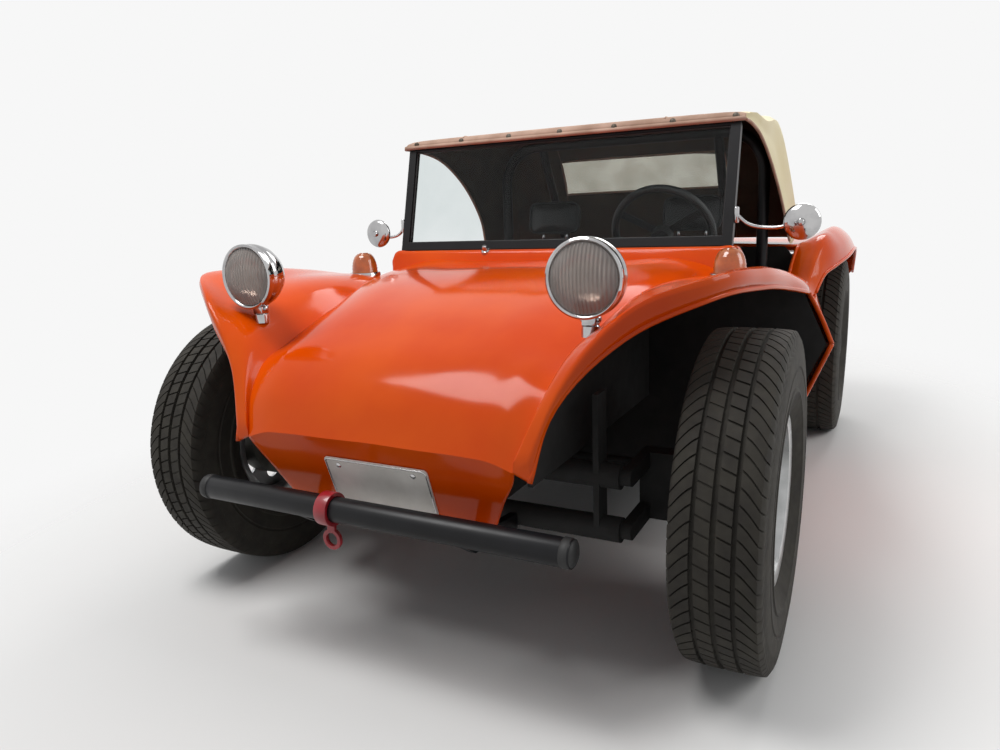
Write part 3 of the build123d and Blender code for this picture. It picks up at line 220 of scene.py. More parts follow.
def linear(code):
    """A hex colour as linear values with alpha."""
    parts = [int(code[i : i + 2], 16) / 255 for i in (0, 2, 4)]
    return tuple(c / 12.92 if c <= 0.04045 else ((c + 0.055) / 1.055) ** 2.4 for c in parts) + (1,)


def bare_tree(owner):
    """The emptied node tree of a material or the world."""
    owner.use_nodes = True
    owner.node_tree.nodes.clear()
    return owner.node_tree


def node(tree, kind, links=(), **settings):
    """Adds a shader node, sets its sockets or properties and links its inputs."""
    made = tree.nodes.new("ShaderNode" + kind)
    for key, value in settings.items():
        label = key.replace("_", " ")
        if label in made.inputs:
            made.inputs[label].default_value = value
        else:
            setattr(made, key, value)
    for label, source in links:
        tree.links.new(source, made.inputs[label])
    return made


def finish(name, low, high, patch, gloss, metal=0.0, grit=None, threads=None, **sockets):
    """A material whose tone drifts from low to high in patches of a size in millimetres.

    gloss is its range of roughness. grit is the size and height of its fine relief,
    and threads the spacing of its weave, all in millimetres.
    """
    mat = bpy.data.materials.new(name)
    tree = bare_tree(mat)
    place = node(tree, "TexCoord").outputs["Object"]
    cloud = node(tree, "TexNoise", [("Vector", place)], Scale=1000 / patch, Detail=4.0)
    ramp = node(tree, "ValToRGB", [("Fac", cloud.outputs["Fac"])])
    for stop, position, code in zip(ramp.color_ramp.elements, TONE_STOPS, (low, high)):
        stop.position = position
        stop.color = linear(code)
    wear = node(tree, "TexNoise", [("Vector", place)], Scale=2500 / patch, Detail=3.0)
    polish = node(
        tree, "MapRange", [("Value", wear.outputs["Fac"])], To_Min=gloss[0], To_Max=gloss[1]
    )
    links = [("Base Color", ramp.outputs["Color"]), ("Roughness", polish.outputs["Result"])]
    height = None
    if grit:
        size, depth = grit
        grains = node(tree, "TexNoise", [("Vector", place)], Scale=1000 / size, Detail=2.0)
        height = grains.outputs["Fac"]
    if threads:
        depth = THREAD_HEIGHT
        wave = {"Scale": WAVE_LENGTH / threads, "Distortion": 0.6}
        weft = node(tree, "TexWave", [("Vector", place)], **wave)
        turned = node(tree, "Mapping", [("Vector", place)], Rotation=(0, 0, pi / 2))
        warp = node(tree, "TexWave", [("Vector", turned.outputs[0])], **wave)
        crossing = [(0, weft.outputs["Fac"]), (1, warp.outputs["Fac"])]
        height = node(tree, "Math", crossing, operation="MULTIPLY").outputs[0]
    if height:
        bump = node(tree, "Bump", [("Height", height)], Strength=0.5, Distance=depth / 1000)
        links.append(("Normal", bump.outputs["Normal"]))
    shader = node(tree, "BsdfPrincipled", links, Metallic=metal, **sockets)
    node(tree, "OutputMaterial", [("Surface", shader.outputs[0])])
    return mat


# Gelcoat out of a polished mould: an even deep orange, glossy, with a faint hand-laid drift
GELCOAT = finish(
    "orange_gelcoat", "D44400", "E15505", 330, (0.09, 0.16), grit=(6, 0.04),
    Coat_Weight=0.03, Coat_Roughness=0.05, Specular_IOR_Level=0.16,
)
# Brushed-on semi-gloss black enamel: broken dark reflections
BLACK_PAINT = finish(
    "black_enamel", "0A0A0C", "131316", 120, (0.3, 0.46), grit=(4, 0.08), Specular_IOR_Level=0.25
)
# Underseal and chassis black: dull and dusty, it takes the light out of the arches
UNDER_BLACK = finish("underseal", "080808", "131211", 80, (0.75, 0.95), grit=(3, 0.3))
# Chrome plate: a bright mirror with slight haze
CHROME = finish("chrome_plate", "A5A4A5", "BEBDBD", 50, (0.05, 0.13), 1.0)
# Tread rubber: dark warm grey, scuffed and matt
RUBBER = finish(
    "tyre_rubber", "2A2723", "35322C", 45, (0.65, 0.9), grit=(2.4, 0.2), Specular_IOR_Level=0.3
)
# Extruded black sealing rubber: even and satin
SEAL = finish("seal_rubber", "0E0E0E", "191919", 30, (0.5, 0.7))
# Sand-cast aluminium alloy of the engine: grey, grainy
CASTING = finish("grey_casting", "55544F", "74736D", 80, (0.48, 0.68), 0.7, grit=(3, 0.3))
# Satin cast alloy of the wheels: pale, soft reflections
ALLOY = finish("satin_alloy", "A6A7A7", "BFC0C0", 60, (0.24, 0.38), 0.9)
# Coated cotton canvas: cream with a slight fade and a plain weave
CANVAS = finish(
    "cream_canvas", "E9DBAF", "F1E5C0", 260, (0.78, 0.92), threads=WEAVE, Sheen_Weight=0.15
)
# Inside of the canvas: painted shade, a dark brown for its unlit underside
SHADED_LINING = finish("canvas_inside_painted_shade", "41382D", "54493B", 160, (0.85, 0.95), threads=WEAVE)
# Bound hem along the screen and the openings, and the front band of the canvas: brownish beige,
# painted shade of the cream cloth
SHADED_HEM = finish("hem_painted_shade", "A88875", "C6A693", 90, (0.8, 0.92), threads=WEAVE)
# Grained upholstery vinyl: near black with a soft sheen
VINYL = finish("black_vinyl", "171718", "232324", 55, (0.4, 0.56), grit=(2.2, 0.3))
# Moulded black grip: fine leather grain
GRIP = finish("black_grip", "111111", "1D1D1D", 35, (0.48, 0.62), grit=(1.8, 0.25))
# Brush-painted red of the towing ring
RED = finish("red_enamel", "8E0819", "AE1323", 70, (0.28, 0.45), Coat_Weight=0.4)
# Pressed plate, bare and enamelled: off-white, slightly soiled
PLATE = finish("bare_enamel", "D2CCC4", "E8E3DC", 110, (0.28, 0.45))
# Heat-dulled steel of the exhaust
DULL_STEEL = finish("heated_steel", "463D33", "6A655E", 100, (0.42, 0.65), 0.9, grit=(3, 0.15))
# Flexible clear window sheet: slightly wavy
CLEAR_VINYL = finish(
    "clear_sheet", "BDB6A8", "D2CCBF", 110, (0.05, 0.18), grit=(45, 1.2),
    Transmission_Weight=0.85, IOR=1.15,
)
# Flat screen glass: barely tinted, and thin, so it bends little light
GLASS = finish(
    "screen_glass", "DFE6E6", "EAEFEF", 250, (0.0, 0.03), Transmission_Weight=1.0, IOR=1.2
)
# Pressed lamp glass over a bright bowl; its flutes are in the mesh
LENS = finish("lamp_glass", "C9BEB6", "DDD3CC", 60, (0.0, 0.04), Transmission_Weight=0.6, IOR=1.45)
# Aluminised lamp reflector: bright but aged, a warm grey mirror
MIRROR_BOWL = finish("aged_reflector", "8E8078", "A69991", 40, (0.12, 0.22), 1.0)
# Amber and red lamp plastics: coloured through, glossy
PLASTIC = {"Transmission_Weight": 0.2, "Coat_Weight": 0.5}
AMBER = finish("amber_plastic", "A8520F", "CC6E22", 40, (0.08, 0.22), **PLASTIC)
RED_LENS = finish("red_plastic", "8C0808", "B01313", 40, (0.08, 0.22), **PLASTIC)

# Solids that stay in view
SHARP = radians(50)  # edges beyond this angle are rounded
SOLID_WELD = 0.00002


def dress(material, *names, soften=0):
    """Puts a finish on solids and rounds their edges, in millimetres."""
    for name in names:
        slots = nodes[name].data.materials
        slots.clear()
        slots.append(material)
        if soften:
            modify(nodes[name], "WELD", merge_threshold=SOLID_WELD)
            modify(
                nodes[name],
                "BEVEL",
                width=soften / 1000,
                segments=2,
                limit_method="ANGLE",
                angle_limit=SHARP,
            )


dress(UNDER_BLACK, "bulkheads", "inner_walls", "floor_pan", "rear_frame", "track_rod")
dress(UNDER_BLACK, "knuckle_left", "knuckle_right")
dress(UNDER_BLACK, "front_beam", "front_arms", soften=4)
dress(BLACK_PAINT, "roll_bar", "steering_column", "rear_bumper")
dress(BLACK_PAINT, "dash_panel", "screen_frame", "seat_rails", "pedals", "fan_shroud", soften=3)
dress(BLACK_PAINT, "front_bumper", soften=4)
dress(CHROME, "floor_levers", "carburettor")
dress(GLASS, "screen_glass")
dress(GRIP, "steering_wheel")
dress(RED_LENS, "tail_lamps", soften=4)
dress(RED, "tow_hook", soften=3)
dress(PLATE, "number_plate", soften=1)
dress(CASTING, "transaxle", "engine", soften=4)
dress(DULL_STEEL, "exhaust", soften=4)
for end in WHEELS:
    for name, _ in SIDES:
        dress(ALLOY, f"rim_{end}_{name}", soften=1.5)
        dress(CASTING, f"drum_{end}_{name}")

# Moulded body: rows from nose to tail, y behind the front axle.
# Hood: middle height, shoulder S and edge C. Side: edge C, shoulder W, crown K and lip L.
# Pod at the door: lip L, ridge R and foot B.
HOOD_ROWS = (
    # y, mid z, Sx,  Sz,  Cx,  Cz
    (-452, 552, 250, 549, 366, 528),
    (-405, 642, 260, 636, 392, 622),
    (-340, 708, 272, 701, 408, 686),
    (-230, 768, 292, 760, 418, 724),
    (0, 843, 340, 833, 440, 792),
    (250, 878, 410, 868, 505, 836),
    (450, 884, 470, 876, 560, 838),
    (640, 888, 506, 880, 634, 824),
)
SIDE_ROWS = (
    # y,   Cx,  Cz,  Wx,  Wz,  Kx,  Kz,  Lx,  Lz, bow of K to L
    (-452, 366, 528, 372, 556, 398, 556, 404, 512, 0.08),
    (-405, 392, 622, 410, 664, 448, 690, 426, 632, 0.12),
    (-340, 408, 686, 444, 752, 592, 856, 568, 796, 0.12),
    (-230, 418, 724, 468, 792, 722, 895, 704, 860, 0.14),
    (0, 440, 792, 496, 846, 776, 888, 768, 860, 0.16),
    (250, 505, 836, 544, 852, 796, 864, 800, 832, 0.14),
    (450, 560, 838, 596, 842, 812, 832, 826, 800, 0.1),
    (640, 634, 824, 668, 816, 798, 806, 813, 772, 0.04),
    (860, 658, 716, 690, 716, 774, 708, 791, 685, 0.04),
    (1130, 660, 716, 688, 716, 756, 708, 772, 675, 0.04),
    (1382, 661, 736, 688, 741, 742, 741, 768, 694, 0.06),
    (1472, 668, 806, 698, 820, 752, 826, 790, 756, 0.1),
    (1562, 676, 862, 706, 874, 764, 892, 820, 780, 0.12),
    (1732, 676, 866, 708, 884, 774, 914, 854, 804, 0.12),
    (2032, 672, 868, 706, 888, 776, 922, 868, 822, 0.12),
    (2262, 664, 846, 698, 866, 768, 900, 862, 794, 0.12),
    (2432, 650, 786, 680, 804, 748, 832, 848, 682, 0.12),
)
POD_ROWS = (
    # y,  Lx,  Lz,  Rx,  Rz,  Bx,  Bz
    (450, 826, 800, 891, 661, 712, 246),
    (640, 813, 772, 879, 627, 704, 246),
    (860, 791, 685, 862, 586, 698, 246),
    (1130, 772, 675, 842, 536, 692, 246),
    (1382, 768, 694, 826, 492, 690, 246),
    (1472, 752, 704, 816, 476, 690, 246),
    (1562, 738, 718, 806, 460, 690, 246),
)
APRON_ROWS = (
    # y, middle z, half width, drop at the side
    (-446, 540, 364, 24),
    (-417, 452, 324, 12),
    (-387, 362, 285, 0),
)
APRON_SHARES = (0, 0.34, 0.68, 0.86, 1)  # of the half width
# side rows where the pod starts, the cowl ends, and the rear flare and the deck start
POD_ROW, COWL_ROW, FLARE_ROW, DECK_ROW = 6, 7, 10, 12
CROWN_BOW, POD_BOW = 0.04, 0.02  # rises as parts of the chord
HOOD_DIP, HOOD_ROUND, POD_ROUND, WALL_DROP = 2, 7, 4, 4
DECK_CROWN = 14
TAIL_Y = 2440
TAIL_MIDDLE = (720, 700)
TAIL_INSET, TAIL_STEP = 0.05, Vector((0, 0.008, 0))
TAIL_FOOT = ((824, 660), (680, 606), (513, 562), (513, 770))
ALONG, ACROSS, DECK_ACROSS = 7, 6, 10  # steps from row to row and from point to point
BODY_THICK = 0.006
LIP_R, COCKPIT_LIP_R, APRON_LIP_R = 6, 7, 5


def close_end(bm, outline, way):
    """One flat panel over an outline, facing forwards (-1) or back (1)."""
    corners = [bm.verts.new(p) for p in outline]
    for face in bmesh.ops.contextual_create(bm, geom=corners)["faces"]:
        face.normal_update()
        if face.normal.y * way < 0:
            face.normal_flip()


shell = bmesh.new()
lips = bmesh.new()
for _, side in SIDES:
    hood = []
    for y, mid, sx, sz, cx, cz in HOOD_ROWS:
        rounded = ((sx + cx) / 2, (sz + cz) / 2 + HOOD_ROUND)
        row = ((0, mid), (sx / 2, mid - HOOD_DIP), (sx, sz), rounded, (cx, cz))
        hood.append(section(side, y, row))
    skin(shell, surface(hood, ALONG, ACROSS), (0, 0, 1))

    flank = []
    for y, cx, cz, wx, wz, kx, kz, lx, lz, bow in SIDE_ROWS:
        inner, outer = bulge((wx, wz), (kx, kz), CROWN_BOW), bulge((kx, kz), (lx, lz), bow)
        row = ((cx, cz), (wx, wz), inner, (kx, kz), outer, (lx, lz))
        flank.append(section(side, y, row))
    flank = surface(flank, ALONG, ACROSS)
    skin(shell, flank, (side, 0, 1))
    close_end(shell, flank[0], -1)

    upper, lower = [], []
    for y, lx, lz, rx, rz, bx, bz in POD_ROWS:
        belly = bulge((lx, lz), (rx, rz), POD_BOW)
        upper.append(section(side, y, ((lx, lz), belly, (rx, rz))))
        tuck = ((rx + bx) / 2 + POD_ROUND, (rz + bz) / 2)
        lower.append(section(side, y, ((rx, rz), tuck, (bx, bz))))
    upper, lower = surface(upper, ALONG, ACROSS), surface(lower, ALONG, ACROSS)
    skin(shell, upper, (side, 0, 0.4))
    skin(shell, lower, (side, 0, -0.4))

    # wall under the rear fender's leading flare
    wall = []
    flare = zip(SIDE_ROWS[FLARE_ROW : DECK_ROW + 1], POD_ROWS[FLARE_ROW - POD_ROW :])
    for (y, cx, cz, *_), (_, lx, lz, *_) in flare:
        wall.append(section(side, y, ((cx, cz - WALL_DROP), (lx, lz))))
    skin(shell, surface(wall, ALONG, ACROSS), (side, 0, 0.3))

    # deck between the rear fenders
    deck = []
    for y, cx, cz, *_ in SIDE_ROWS[DECK_ROW:]:
        row = ((0, cz + DECK_CROWN), (cx / 2, cz + 0.78 * DECK_CROWN), (cx, cz))
        deck.append(section(side, y, row))
    skin(shell, surface(deck, ALONG, DECK_ACROSS), (0, 0, 1))

    # nose apron
    apron = [hood[0]]
    for y, z, half, drop in APRON_ROWS:
        apron.append([front(side * half * f, y, z - drop * f**3) for f in APRON_SHARES])
    skin(shell, surface(apron, ALONG, ACROSS), (0, -1, -0.3))

    # tail panel behind the rear wheel
    rim = flank[-1]
    (middle,) = section(side, TAIL_Y, [TAIL_MIDDLE])
    ring = [p.lerp(middle, TAIL_INSET) + TAIL_STEP for p in rim]
    skin(shell, [rim, ring], (0, 1, 0))
    close_end(shell, ring + section(side, TAIL_Y, TAIL_FOOT), 1)

    # rolled lips round the arches, the pod's front edge and the cockpit
    tube(lips, [row[-1] for row in flank[: POD_ROW * ALONG + 1]] + upper[0][1:], LIP_R)
    tube(lips, lower[0], LIP_R)
    tube(lips, [row[-1] for row in flank[FLARE_ROW * ALONG :]], LIP_R)
    tube(lips, [row[0] for row in flank[COWL_ROW * ALONG : DECK_ROW * ALONG + 1]], COCKPIT_LIP_R)
for (y, half, z, *_), radius in ((SIDE_ROWS[DECK_ROW], COCKPIT_LIP_R), (SIDE_ROWS[-1], LIP_R)):
    edge = [front(half * f, y, z + DECK_CROWN * (1 - f * f)) for f in (-1, -0.5, 0, 0.5, 1)]
    tube(lips, smooth_line(edge, 8), radius)
y, z, half, _ = APRON_ROWS[-1]
tube(lips, [front(x, y, z) for x in range(-half, half + 1, half // 5)], APRON_LIP_R)
weld(shell)
body = piece("moulded_body", shell, GELCOAT, turn=False, crease=34)
modify(body, "SOLIDIFY", thickness=BODY_THICK, offset=-1)
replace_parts(body, "hood", "front_fenders", "tub_sides", "rear_fenders", "rear_deck")
piece("rolled_lips", lips, GELCOAT)

# Raised sill that carries the windscreen
SILL_ROWS = (
    # half width, lower front edge, top
    (300, 866, 917.5),
    (560, 842, 917.5),
    (603, 814, 917.5),
    (611, 806, 912),
    (614, 802, 804),
)
SILL_MIDDLE = (0, 868, 917.5)
SILL_BACK = 832  # height of the rear edge
sill = bmesh.new()
rows = []
for x, foot, top in [(-x, a, b) for x, a, b in SILL_ROWS[::-1]] + [SILL_MIDDLE, *SILL_ROWS]:
    brow = foot + 0.65 * (top - foot)
    back = min(SILL_BACK, top)
    line = ((540, foot), (552, brow), (562, top), (600, top), (634, top), (642, brow), (644, back))
    rows.append([front(x, y, z) for y, z in line])
skin(sill, surface(rows, 4, 4), (0, 0, 1))
piece("screen_sill", sill, GELCOAT, turn=False, crease=40)

# Cloth top: roof, back and quarter sides in one sheet; lines of y behind the front axle and height
TOP_HALF, TOP_SPREAD, PEAK_Z, FOOT_Z = 600, 64, 1362, 892
TOP_LINE = (
    (676, 1286), (674, 1302), (680, 1311), (724, 1319), (900, 1337), (1150, 1354),
    (1440, 1361), (1540, 1310), (1640, 1194), (1715, 1050), (1762, 894),
)  # fmt: skip
SIDE_EDGE = (
    (676, 1286), (700, 1286), (740, 1284), (800, 1279), (920, 1258), (1060, 1200), (1190, 1116),
    (1310, 1000), (1376, 894), (1560, 893), (1762, 894),
)  # fmt: skip
ROOF_COLUMNS = (
    # share of the half width, fall of the rounded edge
    (0, 0),
    (0.2, 0.02),
    (0.4, 0.06),
    (0.6, 0.12),
    (0.78, 0.2),
    (0.9, 0.32),
    (0.965, 0.55),
    (1, 1),
)
CLOTH_STEPS = 9  # from point to point of the two lines
OPENING_END = 8  # point of the side edge where the side opening ends
QUARTER_COLUMNS = 12
EDGE_ROWS = 18  # rows of the front band
ROOF_CALM, QUARTER_CALM = 14, 12  # rows in which the wrinkles fade towards the ends
ROOF_SPAN = (680, 1440)  # y of the screen and of the rear bow
WINDOW = (1108, 1264)  # lowest and highest height
# from here in metres
ROUND_DEPTH = 0.034
ROOF_SAG = 0.010  # between the screen and the rear bow
ROOF_WRINKLE, QUARTER_WRINKLE, QUARTER_HOLLOW = 0.006, 0.007, 0.006
SHADE_BAND_REAR, SHADE_BAND_LOW = (FRONT_Y + 694) / 1000, 1.29  # limits of the front band, painted brownish as shade
CLOTH_THICK, WINDOW_THICK = 0.0022, 0.0015


def top_half(p):
    """Half width of the cloth at a point's height, in metres."""
    z = p.z * 1000 - RIDE
    return (TOP_HALF + TOP_SPREAD * (PEAK_Z - z) / (PEAK_Z - FOOT_Z)) / 1000


def flutter(p, amount):
    """A small wrinkle for a point of the cloth."""
    wide = noise.noise(Vector((p.x * 2.2, p.y * 3.1, p.z * 2.6)))
    fine = noise.noise(Vector((p.x * 9.0 + 5, p.y * 4.0, p.z * 7.0)))
    return (wide + 0.4 * fine) * amount


cloth = bmesh.new()
ridge = smooth_line([front(0, y, z) for y, z in TOP_LINE], CLOTH_STEPS)
hemline = smooth_line([front(0, y, z) for y, z in SIDE_EDGE], CLOTH_STEPS)
last = len(ridge) - 1
roof, shoulder = [], []
for i, p in enumerate(ridge):
    ahead = (ridge[min(i + 1, last)] - ridge[max(i - 1, 0)]).normalized()
    out = Vector((0, -ahead.z, ahead.y))
    calm = min(1, max(0, i - EDGE_ROWS) / ROOF_CALM, (last - i) / ROOF_CALM)
    # the edge rounds less over the screen's corners
    rounding = 0.12 + 0.2 * min(1, i / EDGE_ROWS) + max(0, i - 2 * EDGE_ROWS) / 10
    depth = ROUND_DEPTH * min(1, rounding)
    part = (p.y * 1000 - FRONT_Y - ROOF_SPAN[0]) / (ROOF_SPAN[1] - ROOF_SPAN[0])
    row = []
    for f, fall in ROOF_COLUMNS:
        q = p - out * depth * fall
        lift = flutter(Vector((f * top_half(q), q.y, q.z)), ROOF_WRINKLE) * calm * (1 - f**4)
        if 0 < part < 1:
            lift -= ROOF_SAG * (1 - (2 * part - 1) ** 2) * (1 - f**2)
        row.append(Vector((top_half(q) * f, q.y, q.z)) + out * lift)
    shoulder.append(row[-1])
    roof.append([Vector((-v.x, v.y, v.z)) for v in row[:0:-1]] + row)
made = skin(cloth, roof, (0, 0, 1))
# opening for the window, from row to row and column to column
MIDDLE, SEAM = len(roof[0]) // 2, 3  # columns of the middle and from it to a seam
left, right = MIDDLE - SEAM, MIDDLE + SEAM
heights = [row[MIDDLE].z * 1000 - RIDE for row in roof]
rows = [i for i, z in enumerate(heights) if i > last / 2 and WINDOW[0] < z < WINDOW[1]]
first, final = rows[0], rows[-1]
opening = {
    made[i * len(roof[0]) + k] for i in range(first, final + 1) for k in range(left, right + 1)
}
pane = [f for f in cloth.faces if all(v in opening for v in f.verts)]
bmesh.ops.delete(cloth, geom=pane, context="FACES")
for _, side in SIDES:
    quarter = []
    for i, (a, b) in enumerate(zip(shoulder, hemline)):
        calm = min(1, i / QUARTER_CALM, (last - i) / QUARTER_CALM)
        row = [Vector((side * a.x, a.y, a.z))]
        for k in range(1, QUARTER_COLUMNS + 1):
            f = k / QUARTER_COLUMNS
            q = a.lerp(Vector((0, b.y, b.z)), f)
            fade = sin(pi * min(1, f * 1.2 + 0.05))
            pull = (flutter(q, QUARTER_WRINKLE) - QUARTER_HOLLOW * sin(pi * f)) * fade * calm
            row.append(Vector((side * (top_half(q) + pull), q.y, q.z)))
        quarter.append(row)
    skin(cloth, quarter, (side, 0, 0))
weld(cloth, 2e-5)
top = piece("cloth_top", cloth, CANVAS, turn=False, crease=50)
# slots: inside of the canvas, front band and inside of the band, all in painted shade
for material in (SHADED_LINING, SHADED_HEM, SHADED_LINING):
    top.data.materials.append(material)
SHADE_BAND_SLOT = 2
# the front band of the canvas takes the brownish painted shade
for f in top.data.polygons:
    if f.center.y < SHADE_BAND_REAR and f.center.z > SHADE_BAND_LOW:
        f.material_index = SHADE_BAND_SLOT
modify(
    top, "SOLIDIFY", thickness=CLOTH_THICK, offset=-1, material_offset=1, material_offset_rim=0
)
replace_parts(top, "soft_top")

# Hems, seams, clear window and snap studs of the cloth
hems = bmesh.new()
for _, side in SIDES:
    edge = hemline[: OPENING_END * CLOTH_STEPS + 1]
    tube(hems, [Vector((side * (top_half(p) + 0.001), p.y, p.z)) for p in edge], 5, 8)
tube(hems, [front(x, 672, 1290) for x in range(-608, 609, 76)], 7, 8)
# flat-felled seams along the roof and a binding round the window
for column in (left, right):
    tube(hems, [row[column] for row in roof[EDGE_ROWS : first + 1]], 2.5, 6)
    tube(hems, [row[column] for row in roof[final:]], 2.5, 6)
around = roof[first][left:right] + [row[right] for row in roof[first:final]]
around += roof[final][right:left:-1] + [row[left] for row in roof[final:first:-1]]
tube(hems, around, 5, 8, closed=True)
# the hems carry the same brownish painted shade
hem = piece("top_hem", hems, SHADED_HEM)
sheet = bmesh.new()
skin(sheet, [row[left : right + 1] for row in roof[first : final + 1]], (0, 1, 0))
window = piece("window_sheet", sheet, CLEAR_VINYL, turn=False)
modify(window, "SOLIDIFY", thickness=WINDOW_THICK, offset=-1)
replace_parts(window, "top_window")
STUD = ((0, 5), (6, 4.4), (9.5, 2), (10, 0), (10, -3))
SNAP = ((0, 4), (5, 3.6), (7, 2), (7.5, -2))
studs = bmesh.new()
for x in range(-560, 581, 190):
    spun(studs, STUD, front(x, 675, 1299), (0, -1, 0), 16)
for _, side in SIDES:
    for y in (1440, 1540, 1640, 1720):
        spun(studs, SNAP, front(side * (TOP_HALF + TOP_SPREAD - 1), y, 906), (side, 0, 0), 16)
for x in range(-480, 481, 160):
    spun(studs, SNAP, front(x, 1761, 912), (0, 1, 0.25), 16)
snaps = piece("snap_studs", studs, DULL_STEEL)

# Tyres: ribs cut by main grooves, with swept cross grooves and a ringed sidewall
PITCHES = 76
GROOVE = 9  # depth of a main groove
RIBS = ((-0.86, -0.46), (-0.36, -0.06), (0.06, 0.36), (0.46, 0.86))  # shares of the half width
RIB_SHARES = (0, 0.25, 0.5, 0.75, 1)
GROOVE_WALL = 0.012  # share of the half width
SHOULDER, SHOULDER_SPAN = 0.42, 0.48  # where the swept cross grooves start, and their reach
SWEEP, TILT = 1.5, 1.1  # pitches that a cross groove runs round, on the shoulder and the middle
STAGGER = 0.35  # pitches between the cross grooves of the two sides
EDGE_CUT, SHOULDER_CUT, INNER_CUT, OUTER_CUT = 5.0, 6.5, 3.0, 5.0  # depths of the cross grooves
CROSS_CUT = ((0.0, 0), (0.03, 1), (0.13, 1), (0.16, 0), (0.5, 0))  # share of a pitch, cut or not
RIM_FACE, NUT_CIRCLE, NUTS = 24.5, 66, 5
NUT = ((0, 17), (6, 16), (10, 12), (10, -1))
HUB_RING = ((30, 33.5), (34, 35), (37, 33.5), (37, 20))
for end, (radius, width, rim_half, track, axle_y) in WHEELS.items():
    half = width / 2
    wall = [
        (rim_half - 8, 196),
        (rim_half - 6, 206),
        (rim_half + 2, 214),
        (half - 6, 246),
        (half - 1, 252),
        (half - 1, 258),
        (half - 4, 261),
        (half - 1, 284),
        (half, 300),
        (half - 2.5, 303),
        (half - 2.5, 307),
        (half, 310),
        (half - 1, radius - 62),
        (half - 3, radius - 50),
    ]
    # lines across the tread: place, radius, whether a cross groove cuts it
    lines = [(-x, r, False) for x, r in wall]
    lines += [(-half + 6, radius - 34, True), (-0.93 * half, radius - 17, True)]
    for n, (a, b) in enumerate(RIBS):
        for f in RIB_SHARES:
            x = (a + (b - a) * f) * half
            lines.append((x, radius - 7 * (x / half) ** 4 - 1, True))
        if n < len(RIBS) - 1:
            for x in (b + GROOVE_WALL, RIBS[n + 1][0] - GROOVE_WALL):
                lines.append((x * half, radius - GROOVE, False))
    lines += [(0.93 * half, radius - 17, True), (half - 6, radius - 34, True)]
    lines += [(x, r, False) for x, r in reversed(wall)]
    for name, side in SIDES:
        net = []
        for i in range(PITCHES):
            for f, cut in CROSS_CUT:
                ring = []
                for x, r, grooved in lines:
                    u = x / half * side
                    lean, depth = 0.0, 0.0
                    if grooved and abs(u) > SHOULDER:
                        lean = SWEEP * min(1, (abs(u) - SHOULDER) / SHOULDER_SPAN) ** 1.4
                        depth = EDGE_CUT if abs(u) > 0.9 else SHOULDER_CUT
                    elif grooved:
                        lean = TILT * u
                        depth = INNER_CUT if u < 0 else OUTER_CUT
                    angle = 2 * pi * (i + f + lean + (STAGGER if u < 0 else 0)) / PITCHES
                    reach = r - depth * cut
                    y, z = axle_y - reach * sin(angle), radius + reach * cos(angle)
                    ring.append(Vector((side * track / 2 + x, y, z)) / 1000)
                net.append(ring)
        tread = bmesh.new()
        skin(tread, net + net[:1])
        weld(tread)
        wheel = f"wheel_{end}_{name}"
        tyre = piece(f"tread_{end}_{name}", tread, RUBBER, wheel, crease=38)
        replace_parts(tyre, f"tyre_{end}_{name}")
        # hexagonal nuts and the ring of the hub's cap
        nuts = bmesh.new()
        hub = Vector((side * (track / 2 + RIM_FACE), axle_y, radius)) / 1000
        for k in range(NUTS):
            a = 2 * pi * k / NUTS
            spot = hub + Vector((0, sin(a), cos(a))) * NUT_CIRCLE / 1000
            spun(nuts, NUT, spot, (side, 0, 0), 6)
        spun(nuts, HUB_RING, hub, (side, 0, 0), 32)
        piece(f"wheel_nuts_{end}_{name}", nuts, CHROME, wheel, crease=30)

# Headlamps: chrome bowl and bezel, bright reflector, fluted glass, clamp bracket
LAMP_X, LAMP_Y, LAMP_Z, LENS_R, LENS_RISE = 468, -305, 908, 74, 21
FLUTES, FLUTE_RISE = 55, 1.2  # drawn coarser than the real ones, so that they show
FLUTE_FADE = 0.04  # share of the radius
LENS_ROWS, LENS_COLUMNS = 12, 60  # from the middle to the edge
BOWL = (
    (74, -1), (76, 3), (80, 5), (84, 2), (84, -12), (82.5, -15), (82.5, -19),
    (84, -22), (83, -34), (77, -54), (64, -74), (44, -88), (20, -95), (0, -96),
)  # fmt: skip
REFLECTOR = (
    (73.5, -2), (70, -14), (58, -30), (40, -42), (20, -48), (9, -50), (9, -34), (7, -31), (0, -30),
)  # fmt: skip
FORK = ((0, 34), (11, 34), (13, 30), (13, 12), (19, 9), (20, 0), (20, -14))
FORK_BOLT = ((0, 7), (5, 6.5), (8, 4), (8, -2))
FORK_BACK, FORK_Z = 40, 797
